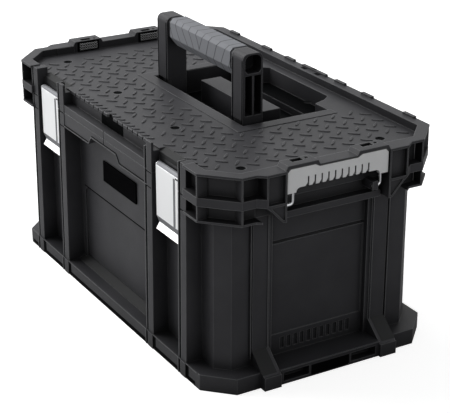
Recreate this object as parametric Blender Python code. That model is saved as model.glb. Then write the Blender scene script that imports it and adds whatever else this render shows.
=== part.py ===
"""A moulded toolbox: tub, hinged lid with a tread plate, folding handle, two latches and two side clips.

Metres, +Z up. X runs along the length, -Y is the front with the latches, +Y is the back with the hinges.
The origin is under the middle of the box, on the surface it stands on.
"""

import math

import bmesh
import bpy
from mathutils import Matrix

# Clearances
GAP = 0.0003
RUNNING_GAP = 0.0004
OVERRUN = 0.006
BITE = 0.002

# Overall sizes
RIM_HALF_X = 0.2825
RIM_HALF_Y = 0.160
RIM_TOP = 0.272
HANDLE_TOP = 0.350
PARTING = 0.233

# Rim of the lid: an octagon whose ends step out in the middle
RIM_CORNER_X = 0.0375
RIM_CORNER_Y = 0.0365
END_STEP = 0.0075
END_OUT = RIM_HALF_X + END_STEP
BELT_HEIGHT = 0.0105
BELT_TOP = PARTING + BELT_HEIGHT
RIM_THICKNESS = 0.003
RIM_WIDTH = 0.014
POCKET_DEPTH = 0.012
WEB = 0.002
PLATE_DROP = 0.010
PLATE_TOP = RIM_TOP - PLATE_DROP
PLATE_THICKNESS = 0.0035
PLATE_UNDER = PLATE_TOP - PLATE_THICKNESS
LID_WALL_X = 0.004
LID_WALL_Y = 0.003
LID_CAVITY_HALF_X = RIM_HALF_X - POCKET_DEPTH - LID_WALL_X
LID_CORNER_SHARE = 0.8

# Front of lid and tub: upright ribs, latch channels and the pocket between them
RIB_SET_BACK = 0.004
RIB_FACE_TOP = RIM_HALF_Y - RIB_SET_BACK
FRONT_SET_BACK = 0.0007
FRONT_FACE = RIB_FACE_TOP - FRONT_SET_BACK
RIB_WIDTH = 0.0123
CHANNEL_WIDTH = 0.071
OUTER_RIB_FROM_END = 0.0695
OUTER_RIB = (RIM_HALF_X - OUTER_RIB_FROM_END - RIB_WIDTH, RIM_HALF_X - OUTER_RIB_FROM_END)
INNER_RIB = (OUTER_RIB[0] - CHANNEL_WIDTH - RIB_WIDTH, OUTER_RIB[0] - CHANNEL_WIDTH)
RIB_TOP_DROP = 0.0015
RIB_TOP = RIM_TOP - RIB_TOP_DROP
INNER_RIB_LIP = 0.0032
CHANNEL_DEPTH = 0.0193
CHANNEL_BACK = RIB_FACE_TOP - CHANNEL_DEPTH
LID_CHANNEL_DEPTH = 0.011
LID_CHANNEL_BACK = RIB_FACE_TOP - LID_CHANNEL_DEPTH
CHANNEL_SLOPE = 0.009
CHANNEL_SLOPE_DROP = 0.0035
FRONT_POCKET_BACK = RIB_FACE_TOP - 0.0135
LID_CAVITY_HALF_Y = FRONT_POCKET_BACK - LID_WALL_Y
PLATE_OVERHANG = 0.0027
PLATE_FRONT = FRONT_POCKET_BACK + PLATE_OVERHANG
PLATE_NOTCHES = 16
PLATE_NOTCH_PITCH = 0.0135
PLATE_NOTCH_WIDTH = 0.003
PLATE_NOTCH_DEPTH = 0.0014
CENTRE_NOTCH_HALF = 0.0065
CENTRE_NOTCH_DEPTH = 0.0045
SLIT_HALF = 0.001

# Round dimples in the plate
DIMPLE_RADIUS = 0.006
DIMPLE_DEPTH = 0.0015
DIMPLE_FROM_END = 0.0495
DIMPLE_FROM_SIDE = 0.064
DIMPLE_INNER_X = 0.078
DIMPLE_X = (DIMPLE_INNER_X, RIM_HALF_X - DIMPLE_FROM_END)
DIMPLE_Y = RIM_HALF_Y - DIMPLE_FROM_SIDE

# Tub: its wall is even in thickness and follows the panels, bays and channels
WALL = 0.0035
WALL_FROM_RIM_X = 0.0275
WALL_FROM_RIM_Y = 0.024
WALL_HALF_X = RIM_HALF_X - WALL_FROM_RIM_X
WALL_HALF_Y = RIM_HALF_Y - WALL_FROM_RIM_Y
WALL_CORNER = 0.015
END_PANEL_SUNK = 0.007
END_PANEL_OUT = WALL_HALF_X - END_PANEL_SUNK
UPPER_PANEL_SUNK = 0.002
LOWER_PANEL_SUNK = 0.0045
UPPER_PANEL_OUT = WALL_HALF_Y - UPPER_PANEL_SUNK
LOWER_PANEL_OUT = WALL_HALF_Y - LOWER_PANEL_SUNK
CAVITY_HALF_X = END_PANEL_OUT - WALL
CAVITY_HALF_Y = LOWER_PANEL_OUT - WALL
CAVITY_CORNER = 0.010
FLOOR_UNDER = 0.0125
FLOOR_TOP = FLOOR_UNDER + WALL
BASE_SET_BACK_X = 0.005
BASE_SET_BACK_Y = 0.002
BASE_HALF_X = RIM_HALF_X - BASE_SET_BACK_X
BASE_HALF_Y = RIM_HALF_Y - BASE_SET_BACK_Y
BASE_CORNER = 0.032
BASE_TOP = 0.0205
BASE_RING = 0.014
BASE_END_STEP = 0.0055
BASE_BLOCK_STEP = 0.0095
BASE_END_OUT = BASE_HALF_X + BASE_END_STEP
BASE_BLOCK_OUT = BASE_HALF_X + BASE_BLOCK_STEP
BASE_BLOCK_TOP = 0.017
BASE_POCKET_SIDE = 0.005
BASE_POCKET_LENGTH = 0.036
BASE_POCKET_Z = (0.004, 0.0155)
BASE_POCKET_DEPTH = 0.012

# Ends: two pilasters with a sunk panel between them
PILASTER_FROM_SIDE = 0.066
PILASTER_WIDTH = 0.023
PILASTER_Y = (RIM_HALF_Y - PILASTER_FROM_SIDE - PILASTER_WIDTH, RIM_HALF_Y - PILASTER_FROM_SIDE)
PILASTER_PROUD = 0.002
PILASTER_OUT = WALL_HALF_X + PILASTER_PROUD
PILASTER_FLARE_TOP = 0.040
BASE_END_HALF = PILASTER_Y[0]
BASE_POCKET_Y = (
    BASE_END_HALF - BASE_POCKET_SIDE - BASE_POCKET_LENGTH,
    BASE_END_HALF - BASE_POCKET_SIDE,
)
PANEL_EDGE = 0.0045
END_PANEL_HALF = PILASTER_Y[0] - PANEL_EDGE
END_LINE_Z = 0.170
END_LINE_EDGE = 0.0015
END_LINE_HALF = END_PANEL_HALF - END_LINE_EDGE
END_LINE_DEPTH = 0.0008
SLOTS = 11
SLOT_PITCH = 0.0094
SLOT_WIDTH = 0.0055
SLOT_Z = (0.027, 0.042)
SLOT_DEPTH = 0.0018

# Front panel, in two levels, with a sloping strip along the foot
PANEL_SIDE_STEP = 0.0095
LOWER_PANEL_HALF = INNER_RIB[0] - PANEL_SIDE_STEP
PANEL_LINE_Z = 0.130
FOOT_STRIP_TOP = 0.028
FOOT_STRIP_SET_BACK = 0.015
FOOT_STRIP_OUT = BASE_HALF_Y - FOOT_STRIP_SET_BACK

# Flange round the top of the tub
TUB_TOP = PARTING - GAP
FLANGE_HEIGHT = 0.0195
FLANGE_LOW = PARTING - FLANGE_HEIGHT
FLANGE_LIP = 0.0025
STEP_RISE = 0.0105
STEP_LOW = FLANGE_LOW + STEP_RISE
STEP_HALF = 0.035
STEP_FOOT_HALF = 0.044
HINGE_LINE_FROM_BACK = 0.006
KNUCKLE_RADIUS = 0.0055
HINGE_Y = RIM_HALF_Y - HINGE_LINE_FROM_BACK
TUB_BACK = HINGE_Y - KNUCKLE_RADIUS - 0.001
BACK_RIB_DROP = 0.005
BACK_RIB_TOP = FLANGE_LOW - BACK_RIB_DROP

# Ears on the ends of the lid, which hold the side clips
EAR_FROM_SIDE = 0.064
EAR_WIDTH = 0.026
EAR_Y = (RIM_HALF_Y - EAR_FROM_SIDE - EAR_WIDTH, RIM_HALF_Y - EAR_FROM_SIDE)
END_JOG_INNER = EAR_Y[1]
END_JOG_RUN = 0.009
END_JOG_OUTER = END_JOG_INNER + END_JOG_RUN
EAR_DEPTH = 0.0225
EAR_INNER = END_OUT - EAR_DEPTH
EAR_FOOT_DROP = 0.022
EAR_TOE_DROP = 0.021
EAR_HEEL_DROP = 0.005
EAR_TOE_RUN = 0.005
EAR_HEEL_RUN = 0.020
EAR_FOOT_Z = PARTING - EAR_FOOT_DROP
EAR_TOE = (EAR_Y[0] + EAR_TOE_RUN, PARTING - EAR_TOE_DROP)
EAR_HEEL = (EAR_Y[0] + EAR_HEEL_RUN, PARTING - EAR_HEEL_DROP)
EAR_EDGE = 0.002
EAR_POCKET_DEPTH = 0.006
RECESS_WALL = RIM_HALF_X - POCKET_DEPTH
SHELF_SET_BACK = 0.002
SHELF_OUT = END_OUT - SHELF_SET_BACK
SHELF_THICKNESS = 0.0021
SHELF_LOW = RIM_TOP - SHELF_THICKNESS
ARCH_RISE = 0.005
ARCH_TOP = RIM_TOP + ARCH_RISE
ARCH_START_SHARE = 0.40
ARCH_SLOPE = 0.004
ARCH_EDGE = 0.002
ARCH_Y = (EAR_Y[0] * ARCH_START_SHARE, EAR_Y[0] - ARCH_EDGE)
ARCH_UNDER = RIM_TOP + 0.001
ARCH_UNDER_EDGE = 0.005
ARCH_UNDER_END_Z = RIM_TOP - RIM_THICKNESS
WINDOW_X = (RIM_HALF_X - 0.0118, RIM_HALF_X - 0.004)
FRONT_WINDOW_SHARES = (0.60, 0.81)
BACK_WINDOW_SHARES = (0.55, 0.76)
PEEP_X = (RIM_HALF_X - 0.0105, RIM_HALF_X - 0.0065)
FRONT_PEEP_SHARES = (0.48, 0.54)
BACK_PEEP_SHARES = (0.81, 0.87)
DOT_RADIUS = 0.0015
DOT_FROM_END = 0.0165

# Where the ends of tub and lid leave room for the ears to swing
END_NOTCH_WALL = EAR_INNER - 0.001
END_NOTCH_HALF = EAR_Y[1] + 0.0035
LEDGE_SET_BACK = 0.0045
LEDGE_OUT = RIM_HALF_X - LEDGE_SET_BACK
LEDGE_HALF = EAR_Y[0] - 0.0035
LEDGE_HEIGHT = 0.008
LEDGE_DROP = 0.0145
LEDGE_Z = (PARTING - LEDGE_DROP - LEDGE_HEIGHT, PARTING - LEDGE_DROP)

# Hinges
HINGE_DROP = 0.007
HINGE_Z = PARTING - HINGE_DROP
HINGE_FROM_END = 0.0745
HINGE_OUTER = RIM_HALF_X - HINGE_FROM_END
HINGE_INNER = HINGE_OUTER - 0.0875
HINGE_PLACES = (-HINGE_OUTER, -HINGE_INNER, HINGE_INNER, HINGE_OUTER)
KNUCKLE_LENGTH = 0.023
BODY_KNUCKLE = 0.011
HINGE_PIN_RADIUS = 0.002
BUMP_HEIGHT = 0.0025
BUMP_DEPTH = 0.005
BUMP_LENGTH = 0.022
BUMP_INNER = HINGE_INNER / 2
BUMP_PLACES = (BUMP_INNER, HINGE_INNER, HINGE_OUTER)
CENTRE_BUMP_HALF = 0.028

# Latches
LATCH_SIDE_GAP = 0.0075
LATCH_X = (INNER_RIB[1] + LATCH_SIDE_GAP, OUTER_RIB[0] - LATCH_SIDE_GAP)
LATCH_FACE = RIB_FACE_TOP - BITE
LATCH_THICKNESS = 0.0015
CURL_RADIUS = 0.0042
CURL_DROP = 0.0265
LATCH_PIVOT_Y = -(LATCH_FACE - CURL_RADIUS - 0.0001)
LATCH_PIVOT_Z = RIM_TOP - CURL_DROP
LATCH_STRAIGHT = 0.0635
LATCH_BEND_Z = LATCH_PIVOT_Z - LATCH_STRAIGHT
LATCH_WAIST_DROP = 0.0095
LATCH_WAIST_Z = LATCH_BEND_Z - LATCH_WAIST_DROP
LATCH_WAIST_IN = 0.0035
LATCH_LIP_DROP = 0.0075
LATCH_LIP_Z = LATCH_WAIST_Z - LATCH_LIP_DROP
LATCH_LIP_OUT = 0.0005
LATCH_PIN_RADIUS = 0.0018
LATCH_PIN_GRIP = 0.004
LATCH_GROOVE_FROM_SIDE = 0.0105
LATCH_GROOVE_WIDTH = 0.0028
LATCH_GROOVE_DEPTH = 0.0007
LATCH_GROOVE_DROP = 0.007
STRIKE_INSET = 0.008
STRIKE_RISE = 0.0025
STRIKE_HEIGHT = 0.007
STRIKE_Z = (LATCH_WAIST_Z + STRIKE_RISE, LATCH_WAIST_Z + STRIKE_RISE + STRIKE_HEIGHT)

# Handle
HANDLE_PIVOT_DROP = 0.026
HANDLE_PIVOT_Z = RIM_TOP - HANDLE_PIVOT_DROP
GRIP_HALF = 0.077
COLLAR_WIDTH = 0.006
POST_WIDTH = 0.0265
POST_X = (GRIP_HALF + COLLAR_WIDTH, GRIP_HALF + COLLAR_WIDTH + POST_WIDTH)
POST_DEPTH = 0.0285
HANDLE_PIVOT_Y = -0.00575
POST_Y = (HANDLE_PIVOT_Y - POST_DEPTH / 2, HANDLE_PIVOT_Y + POST_DEPTH / 2)
POST_TOP_RADIUS = 0.0075
GRIP_DEPTH = 0.028
GRIP_FORWARD = 0.00125
GRIP_MIDDLE_Y = HANDLE_PIVOT_Y + GRIP_FORWARD
GRIP_TOP_CHAMFER = 0.0045
GRIP_HEIGHT = 0.0375
GRIP_CHAMFER_RISE = 0.013
GRIP_LOW = HANDLE_TOP - GRIP_HEIGHT
GRIP_SIDE_LOW = GRIP_LOW + GRIP_CHAMFER_RISE
GRIP_LOW_HALF = 0.004
COLLAR_INSET = 0.001
CORE_HALF_Y = 0.007
CORE_DOWN = (0.0265, 0.007)
CORE_Z = (HANDLE_TOP - CORE_DOWN[0], HANDLE_TOP - CORE_DOWN[1])
HANDLE_PIN_RADIUS = 0.004
HANDLE_PIN_IN_POST = 0.011
POST_POCKET_DEPTH = 0.020
POST_WALL = 0.0022
POST_FRONT_WALL = 0.0034
POST_NOTCH_DEPTH = 0.0045
POST_NOTCH_RISE = 0.004
POST_WINDOW_HEIGHT = 0.025
POST_WINDOW_LOW = HANDLE_TOP - POST_WINDOW_HEIGHT
POST_BAR = 0.003
POST_SLOT_FOOT = 0.0005
POST_SLOT_Z = (RIM_TOP - POST_SLOT_FOOT, POST_WINDOW_LOW - POST_BAR)
POST_CENTRE_RIB = 0.0026

# Recess that the handle stands in and folds into
PAN_CLEARANCE = 0.0055
PAN_HALF_X = POST_X[1] + PAN_CLEARANCE
PAN_FRONT_GAP = 0.002
PAN_FRONT = POST_Y[0] - PAN_FRONT_GAP
PAN_FLOOR = HANDLE_PIVOT_Z - 0.016
PAN_WALL = 0.0035
FINGER_FROM_BACK = 0.029
FINGER_DEPTH = 0.030
FINGER_BACK = RIM_HALF_Y - FINGER_FROM_BACK
PAN_BACK = FINGER_BACK - FINGER_DEPTH
FINGER_FLOOR = PARTING + 0.007
FINGER_MID_Y_SHARE = 0.62
FINGER_MID_Y = PAN_BACK + FINGER_DEPTH * FINGER_MID_Y_SHARE
FINGER_HALF_SHARES = (0.757, 0.696, 0.609)
FINGER_HALF_WIDE = PAN_HALF_X * FINGER_HALF_SHARES[0]
FINGER_HALF_MID = PAN_HALF_X * FINGER_HALF_SHARES[1]
FINGER_HALF_NARROW = PAN_HALF_X * FINGER_HALF_SHARES[2]
RAISED_HALF_X = GRIP_HALF - BITE
RAISED_Y = (0.026, 0.056)
RAISED_TOP = PLATE_TOP - BITE

# Badge
BADGE_HALF = 0.046
BADGE_HEIGHT = 0.028
BADGE_DROP = 0.047
BADGE_Z = (PARTING - BADGE_DROP - BADGE_HEIGHT, PARTING - BADGE_DROP)
BADGE_THICKNESS = 0.0015

# Side clips
CLIP_THICKNESS = 0.0055
CLIP_X = (SHELF_OUT - CLIP_THICKNESS, SHELF_OUT)
CLIP_SIDE_GAP = 0.0015
CLIP_HALF = EAR_Y[0] - CLIP_SIDE_GAP
CLIP_TOP = ARCH_UNDER - RUNNING_GAP
CLIP_MIDDLE_TOP = SHELF_LOW - RUNNING_GAP
CLIP_MIDDLE_SHARE = 0.38
CLIP_SHOULDER_SHARE = 0.467
CLIP_MIDDLE_HALF = CLIP_HALF * CLIP_MIDDLE_SHARE
CLIP_SHOULDER_HALF = CLIP_HALF * CLIP_SHOULDER_SHARE
CLIP_CORNER = 0.004
CLIP_HEIGHT = 0.029
CLIP_LEG_LOW = CLIP_TOP - CLIP_HEIGHT
CLIP_LEG_WIDTH = 0.0115
CLIP_LEG_INNER = CLIP_HALF - CLIP_LEG_WIDTH
CLIP_ARC = 0.0055
COMB_LOW = CLIP_LEG_LOW + CLIP_ARC
COMB_SHARE = 0.664
COMB_HALF = CLIP_HALF * COMB_SHARE
COMB_SLOTS = 10
COMB_SLOT_WIDTH = 0.0018
COMB_SLOT_HEIGHT = 0.0112
COMB_SLOT_TOP = COMB_LOW + COMB_SLOT_HEIGHT
TOOTH_CORNER_RUN = 0.003
TOOTH_CORNER_RISE = 0.004
WIRE_RADIUS = 0.0020
WIRE_X = CLIP_X[1] - 0.0032
WIRE_LEG_Y = CLIP_HALF - 0.0085
WIRE_IN_CLIP = 0.020
WIRE_TOP = CLIP_LEG_LOW + WIRE_IN_CLIP
WIRE_PIVOT_Z = HINGE_Z + 0.0035
WIRE_BEND = 0.004
WIRE_IN_EAR = 0.005
LUG_LENGTH = 0.0075
LUG_FROM_LEG = 0.0045
LUG_Y = (WIRE_LEG_Y - LUG_FROM_LEG - LUG_LENGTH, WIRE_LEG_Y - LUG_FROM_LEG)
LUG_HALF_HEIGHT = 0.005

# Sides of round pieces
PIN_SIDES = 20
CURL_SIDES = 24
DIMPLE_SIDES = 16
ARC_STEPS = 4

# Where a piece is repeated: factors on X and Y
BOTH_ENDS = ((1, 1), (-1, 1))
FRONT_AND_BACK = ((1, 1), (1, -1))
ALL_FOUR = ((1, 1), (-1, 1), (1, -1), (-1, -1))
TURNED_PAIR = ((1, 1), (-1, -1))


def new_collection(name, hidden=False):
    collection = bpy.data.collections.new(name)
    collection.hide_render = hidden
    bpy.context.scene.collection.children.link(collection)
    return collection


def clear_scene():
    for obj in list(bpy.data.objects):
        bpy.data.objects.remove(obj, do_unlink=True)


def tool_object(name, mesh):
    """A helper: it shapes a piece and isn't one itself."""
    obj = bpy.data.objects.new(name, mesh)
    obj.hide_render = True
    obj.display_type = "WIRE"
    helpers.objects.link(obj)
    return obj


def box(name, x, y, z):
    """A block between two values on each axis."""
    made = bmesh.new()
    bmesh.ops.create_cube(made, size=1)
    size = Matrix.Diagonal((abs(x[1] - x[0]), abs(y[1] - y[0]), abs(z[1] - z[0]), 1))
    middle = Matrix.Translation(((x[0] + x[1]) / 2, (y[0] + y[1]) / 2, (z[0] + z[1]) / 2))
    bmesh.ops.transform(made, matrix=middle @ size, verts=made.verts)
    mesh = bpy.data.meshes.new(name)
    made.to_mesh(mesh)
    made.free()
    return tool_object(name, mesh)


def rod(name, axis, along, centre, radius, sides=PIN_SIDES):
    """A cylinder along X, Y or Z; centre holds its place on the two other axes."""
    made = bmesh.new()
    length = along[1] - along[0]
    bmesh.ops.create_cone(
        made, cap_ends=True, segments=sides, radius1=radius, radius2=radius, depth=length
    )
    middle = (along[0] + along[1]) / 2
    turn = {
        "X": Matrix.Translation((middle, *centre)) @ Matrix.Rotation(math.pi / 2, 4, "Y"),
        "Y": Matrix.Translation((centre[0], middle, centre[1])) @ Matrix.Rotation(math.pi / 2, 4, "X"),
        "Z": Matrix.Translation((*centre, middle)),
    }[axis]
    bmesh.ops.transform(made, matrix=turn, verts=made.verts)
    mesh = bpy.data.meshes.new(name)
    made.to_mesh(mesh)
    made.free()
    return tool_object(name, mesh)


def prism(name, axis, along, *outlines):
    """Flat outlines, of which the second and later ones are holes, given a thickness along an axis.

    The points are (x, y) for axis Z, (y, z) for axis X and (x, z) for axis Y.
    """
    curve = bpy.data.curves.new(name, "CURVE")
    curve.dimensions = "2D"
    curve.fill_mode = "BOTH"
    curve.extrude = (along[1] - along[0]) / 2
    for outline in outlines:
        spline = curve.splines.new("POLY")
        spline.points.add(len(outline) - 1)
        for point, (u, v) in zip(spline.points, outline):
            point.co = (u, v, 0, 1)
        spline.use_cyclic_u = True
    flat = bpy.data.objects.new(name, curve)
    helpers.objects.link(flat)
    graph = bpy.context.evaluated_depsgraph_get()
    mesh = bpy.data.meshes.new_from_object(flat.evaluated_get(graph))
    bpy.data.objects.remove(flat, do_unlink=True)
    middle = (along[0] + along[1]) / 2
    turn = {
        "X": Matrix(((0, 0, 1, middle), (1, 0, 0, 0), (0, 1, 0, 0), (0, 0, 0, 1))),
        "Y": Matrix(((1, 0, 0, 0), (0, 0, -1, middle), (0, 1, 0, 0), (0, 0, 0, 1))),
        "Z": Matrix.Translation((0, 0, middle)),
    }[axis]
    made = bmesh.new()
    made.from_mesh(mesh)
    bmesh.ops.remove_doubles(made, verts=made.verts, dist=GAP / 10)
    bmesh.ops.transform(made, matrix=turn, verts=made.verts)
    bmesh.ops.recalc_face_normals(made, faces=made.faces)
    made.to_mesh(mesh)
    made.free()
    return tool_object(name, mesh)


def group(name, tools):
    """Several helpers that don't touch each other, as one."""
    made = bmesh.new()
    for tool in tools:
        made.from_mesh(tool.data)
        bpy.data.objects.remove(tool, do_unlink=True)
    mesh = bpy.data.meshes.new(name)
    made.to_mesh(mesh)
    made.free()
    return tool_object(name, mesh)


def repeated(tool, places):
    """The helper, mirrored to each of the places, as one object."""
    copies = []
    for sign_x, sign_y in places:
        mesh = tool.data.copy()
        mesh.transform(Matrix.Diagonal((sign_x, sign_y, 1, 1)))
        if sign_x * sign_y < 0:
            mesh.flip_normals()
        copies.append(tool_object(tool.name, mesh))
    bpy.data.objects.remove(tool, do_unlink=True)
    return group("repeated", copies)


def change(piece, operation, tool):
    modifier = piece.modifiers.new(tool.name, "BOOLEAN")
    modifier.operation = operation
    modifier.solver = "EXACT"
    modifier.object = tool


def join(piece, *tools):
    for tool in tools:
        change(piece, "UNION", tool)


def cut(piece, *tools):
    for tool in tools:
        change(piece, "DIFFERENCE", tool)


def finish_piece(name, first, material, origin=(0, 0, 0)):
    """Makes the first helper of a piece into the piece itself, with its origin on its joint."""
    first.name = name
    first.data.name = name
    helpers.objects.unlink(first)
    pieces.objects.link(first)
    first.hide_render = False
    first.display_type = "TEXTURED"
    first.data.materials.clear()
    first.data.materials.append(material)
    first.data.transform(Matrix.Translation(origin).inverted())
    first.location = origin
    return first


def plastic(name, colour, roughness, metallic=0.0):
    material = bpy.data.materials.new(name)
    material.use_nodes = True
    shader = material.node_tree.nodes["Principled BSDF"]
    shader.inputs["Base Color"].default_value = (*colour, 1)
    shader.inputs["Roughness"].default_value = roughness
    shader.inputs["Metallic"].default_value = metallic
    return material


def octagon(half_x, half_y, corner_x, corner_y):
    near_x = half_x - corner_x
    near_y = half_y - corner_y
    return [
        (near_x, -half_y),
        (half_x, -near_y),
        (half_x, near_y),
        (near_x, half_y),
        (-near_x, half_y),
        (-half_x, near_y),
        (-half_x, -near_y),
        (-near_x, -half_y),
    ]


def inset_rim(depth):
    """The rim's outline moved in by a depth, with its corner faces still parallel."""
    corner_loss = depth * (2 - math.sqrt(2))
    return octagon(
        RIM_HALF_X - depth,
        RIM_HALF_Y - depth,
        RIM_CORNER_X - corner_loss,
        RIM_CORNER_Y - corner_loss,
    )


def rim_outline():
    """The outline of lid and flange: an octagon whose ends stand proud in the middle."""
    near_x = RIM_HALF_X - RIM_CORNER_X
    near_y = RIM_HALF_Y - RIM_CORNER_Y
    right = [
        (near_x, -RIM_HALF_Y),
        (RIM_HALF_X, -near_y),
        (RIM_HALF_X, -END_JOG_OUTER),
        (END_OUT, -END_JOG_INNER),
        (END_OUT, END_JOG_INNER),
        (RIM_HALF_X, END_JOG_OUTER),
        (RIM_HALF_X, near_y),
        (near_x, RIM_HALF_Y),
    ]
    left = [(-x, y) for x, y in reversed(right)]
    return right + left


def arc(centre, radius, start, end, steps=ARC_STEPS):
    """Points of an arc, with its angles in degrees."""
    turns = [math.radians(start + (end - start) * step / steps) for step in range(steps + 1)]
    return [(centre[0] + radius * math.cos(a), centre[1] + radius * math.sin(a)) for a in turns]


def mirrored_outline(half):
    """A half outline and its mirror image, as one closed outline."""
    return half + [(-u, v) for u, v in reversed(half)]


def pocket_webs(low, high):
    """The thin upright ribs in the rim's pockets."""
    near_x = RIM_HALF_X - RIM_CORNER_X
    near_y = RIM_HALF_Y - RIM_CORNER_Y
    inner_x = RIM_HALF_X - POCKET_DEPTH - BITE
    inner_y = RIM_HALF_Y - POCKET_DEPTH - BITE
    inset = WEB / 4
    front = box("front web", (near_x - WEB, near_x), (-RIM_HALF_Y + inset, -inner_y), (low, high))
    end = box("end web", (inner_x, RIM_HALF_X - inset), (-near_y, -near_y + WEB), (low, high))
    return [repeated(front, ALL_FOUR), repeated(end, ALL_FOUR)]


def hinge_barrels(name, spans):
    """Hinge barrels at each hinge, over the given spans along X."""
    barrels = []
    for place in HINGE_PLACES:
        for low, high in spans:
            along = (place + low, place + high)
            barrels.append(rod(name, "X", along, (HINGE_Y, HINGE_Z), KNUCKLE_RADIUS, CURL_SIDES))
    return group(name, barrels)


def hinge_arms(name, spans, y, z):
    arms = []
    for place in HINGE_PLACES:
        for low, high in spans:
            arms.append(box(name, (place + low, place + high), y, z))
    return group(name, arms)


def hinge_bores():
    radius = HINGE_PIN_RADIUS + GAP
    reach = KNUCKLE_LENGTH / 2 + OVERRUN
    bores = []
    for place in HINGE_PLACES:
        along = (place - reach, place + reach)
        bores.append(rod("hinge bore", "X", along, (HINGE_Y, HINGE_Z), radius))
    return group("hinge bores", bores)


def latch_bores():
    low = INNER_RIB[1] - LATCH_PIN_GRIP - GAP
    high = OUTER_RIB[0] + LATCH_PIN_GRIP + GAP
    centre = (LATCH_PIVOT_Y, LATCH_PIVOT_Z)
    return repeated(
        rod("latch pin bore", "X", (low, high), centre, LATCH_PIN_RADIUS + GAP), BOTH_ENDS
    )


def tub_walls():
    """The wall of the tub, its base and what stands on it."""
    wall = prism(
        "tub wall",
        "Z",
        (FLOOR_UNDER, TUB_TOP),
        octagon(WALL_HALF_X, WALL_HALF_Y, WALL_CORNER, WALL_CORNER),
    )
    base = prism(
        "base", "Z", (0, BASE_TOP), octagon(BASE_HALF_X, BASE_HALF_Y, BASE_CORNER, BASE_CORNER)
    )
    base_end = box(
        "base end",
        (-BASE_END_OUT, BASE_END_OUT),
        (-BASE_END_HALF, BASE_END_HALF),
        (0, BASE_TOP),
    )
    inner = BASE_HALF_X - BASE_RING
    block = repeated(
        box("base block", (inner, BASE_BLOCK_OUT), PILASTER_Y, (0, BASE_BLOCK_TOP)), ALL_FOUR
    )
    pilaster_outline = [
        (CAVITY_HALF_X + BITE, FLOOR_TOP),
        (BASE_BLOCK_OUT - BITE / 2, FLOOR_TOP),
        (PILASTER_OUT, PILASTER_FLARE_TOP),
        (PILASTER_OUT, TUB_TOP),
        (CAVITY_HALF_X + BITE, TUB_TOP),
    ]
    pilaster = repeated(prism("pilaster", "Y", PILASTER_Y, pilaster_outline), ALL_FOUR)
    return wall, [base, base_end, block, pilaster]


def tub_ribs():
    """Upright ribs, the channels between them and the sloping strip along the foot."""
    made = []
    deep = CAVITY_HALF_Y + BITE
    for x, name in ((INNER_RIB, "inner rib"), (OUTER_RIB, "outer rib")):
        front = [
            (-deep, FLOOR_TOP),
            (-BASE_HALF_Y, FLOOR_TOP),
            (-RIB_FACE_TOP, TUB_TOP),
            (-deep, TUB_TOP),
        ]
        back = [
            (deep, FLOOR_TOP),
            (BASE_HALF_Y, FLOOR_TOP),
            (RIB_FACE_TOP, BACK_RIB_TOP),
            (deep, BACK_RIB_TOP),
        ]
        made.append(repeated(prism(name, "X", x, front), BOTH_ENDS))
        made.append(repeated(prism(name, "X", x, back), BOTH_ENDS))
    channel_x = (INNER_RIB[1] - BITE, OUTER_RIB[0] + BITE)
    channel = box("channel back", channel_x, (deep, CHANNEL_BACK), (FLOOR_TOP, TUB_TOP))
    made.append(repeated(channel, ALL_FOUR))
    strip = [
        (-deep, FLOOR_TOP),
        (-FOOT_STRIP_OUT, FLOOR_TOP),
        (-FOOT_STRIP_OUT, BASE_TOP),
        (-LOWER_PANEL_OUT, FOOT_STRIP_TOP),
        (-deep, FOOT_STRIP_TOP),
    ]
    half = INNER_RIB[0] + BITE
    made.append(repeated(prism("foot strip", "X", (-half, half), strip), FRONT_AND_BACK))
    return made


def tub_flange():
    """The flange that the lid closes on."""
    lip_top = FLANGE_LOW + FLANGE_LIP
    lip = prism("flange lip", "Z", (FLANGE_LOW, lip_top), rim_outline())
    ring = prism("flange wall", "Z", (lip_top - GAP, TUB_TOP), inset_rim(POCKET_DEPTH))
    return [lip, ring, *pocket_webs(FLANGE_LOW + GAP, TUB_TOP)]


def flange_cuts():
    """What is missing from the flange: its back edge, its ends and the front between the ribs."""
    reach_x = END_OUT + OVERRUN
    reach_y = RIM_HALF_Y + OVERRUN
    low = FLANGE_LOW - OVERRUN / 4
    high = TUB_TOP + OVERRUN
    back = box("flange back", (-reach_x, reach_x), (TUB_BACK, reach_y), (low, high))
    end = box(
        "flange end", (END_NOTCH_WALL, reach_x), (-END_NOTCH_HALF, END_NOTCH_HALF), (low, high)
    )
    front = box(
        "flange front", (-OUTER_RIB[1], OUTER_RIB[1]), (-reach_y, -UPPER_PANEL_OUT), (low, high)
    )
    return [back, repeated(end, BOTH_ENDS), front]


def front_lip():
    """The part of the flange between the inner ribs, higher in the middle."""
    half = [
        (0, STEP_LOW),
        (STEP_HALF, STEP_LOW),
        (STEP_FOOT_HALF, FLANGE_LOW),
        (INNER_RIB[0] + BITE, FLANGE_LOW),
        (INNER_RIB[0] + BITE, TUB_TOP),
        (0, TUB_TOP),
    ]
    outline = half[1:-1] + [(-u, v) for u, v in reversed(half[1:-1])]
    deep = CAVITY_HALF_Y + BITE
    return prism("front lip", "Y", (-FRONT_FACE, -deep), outline)


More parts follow.
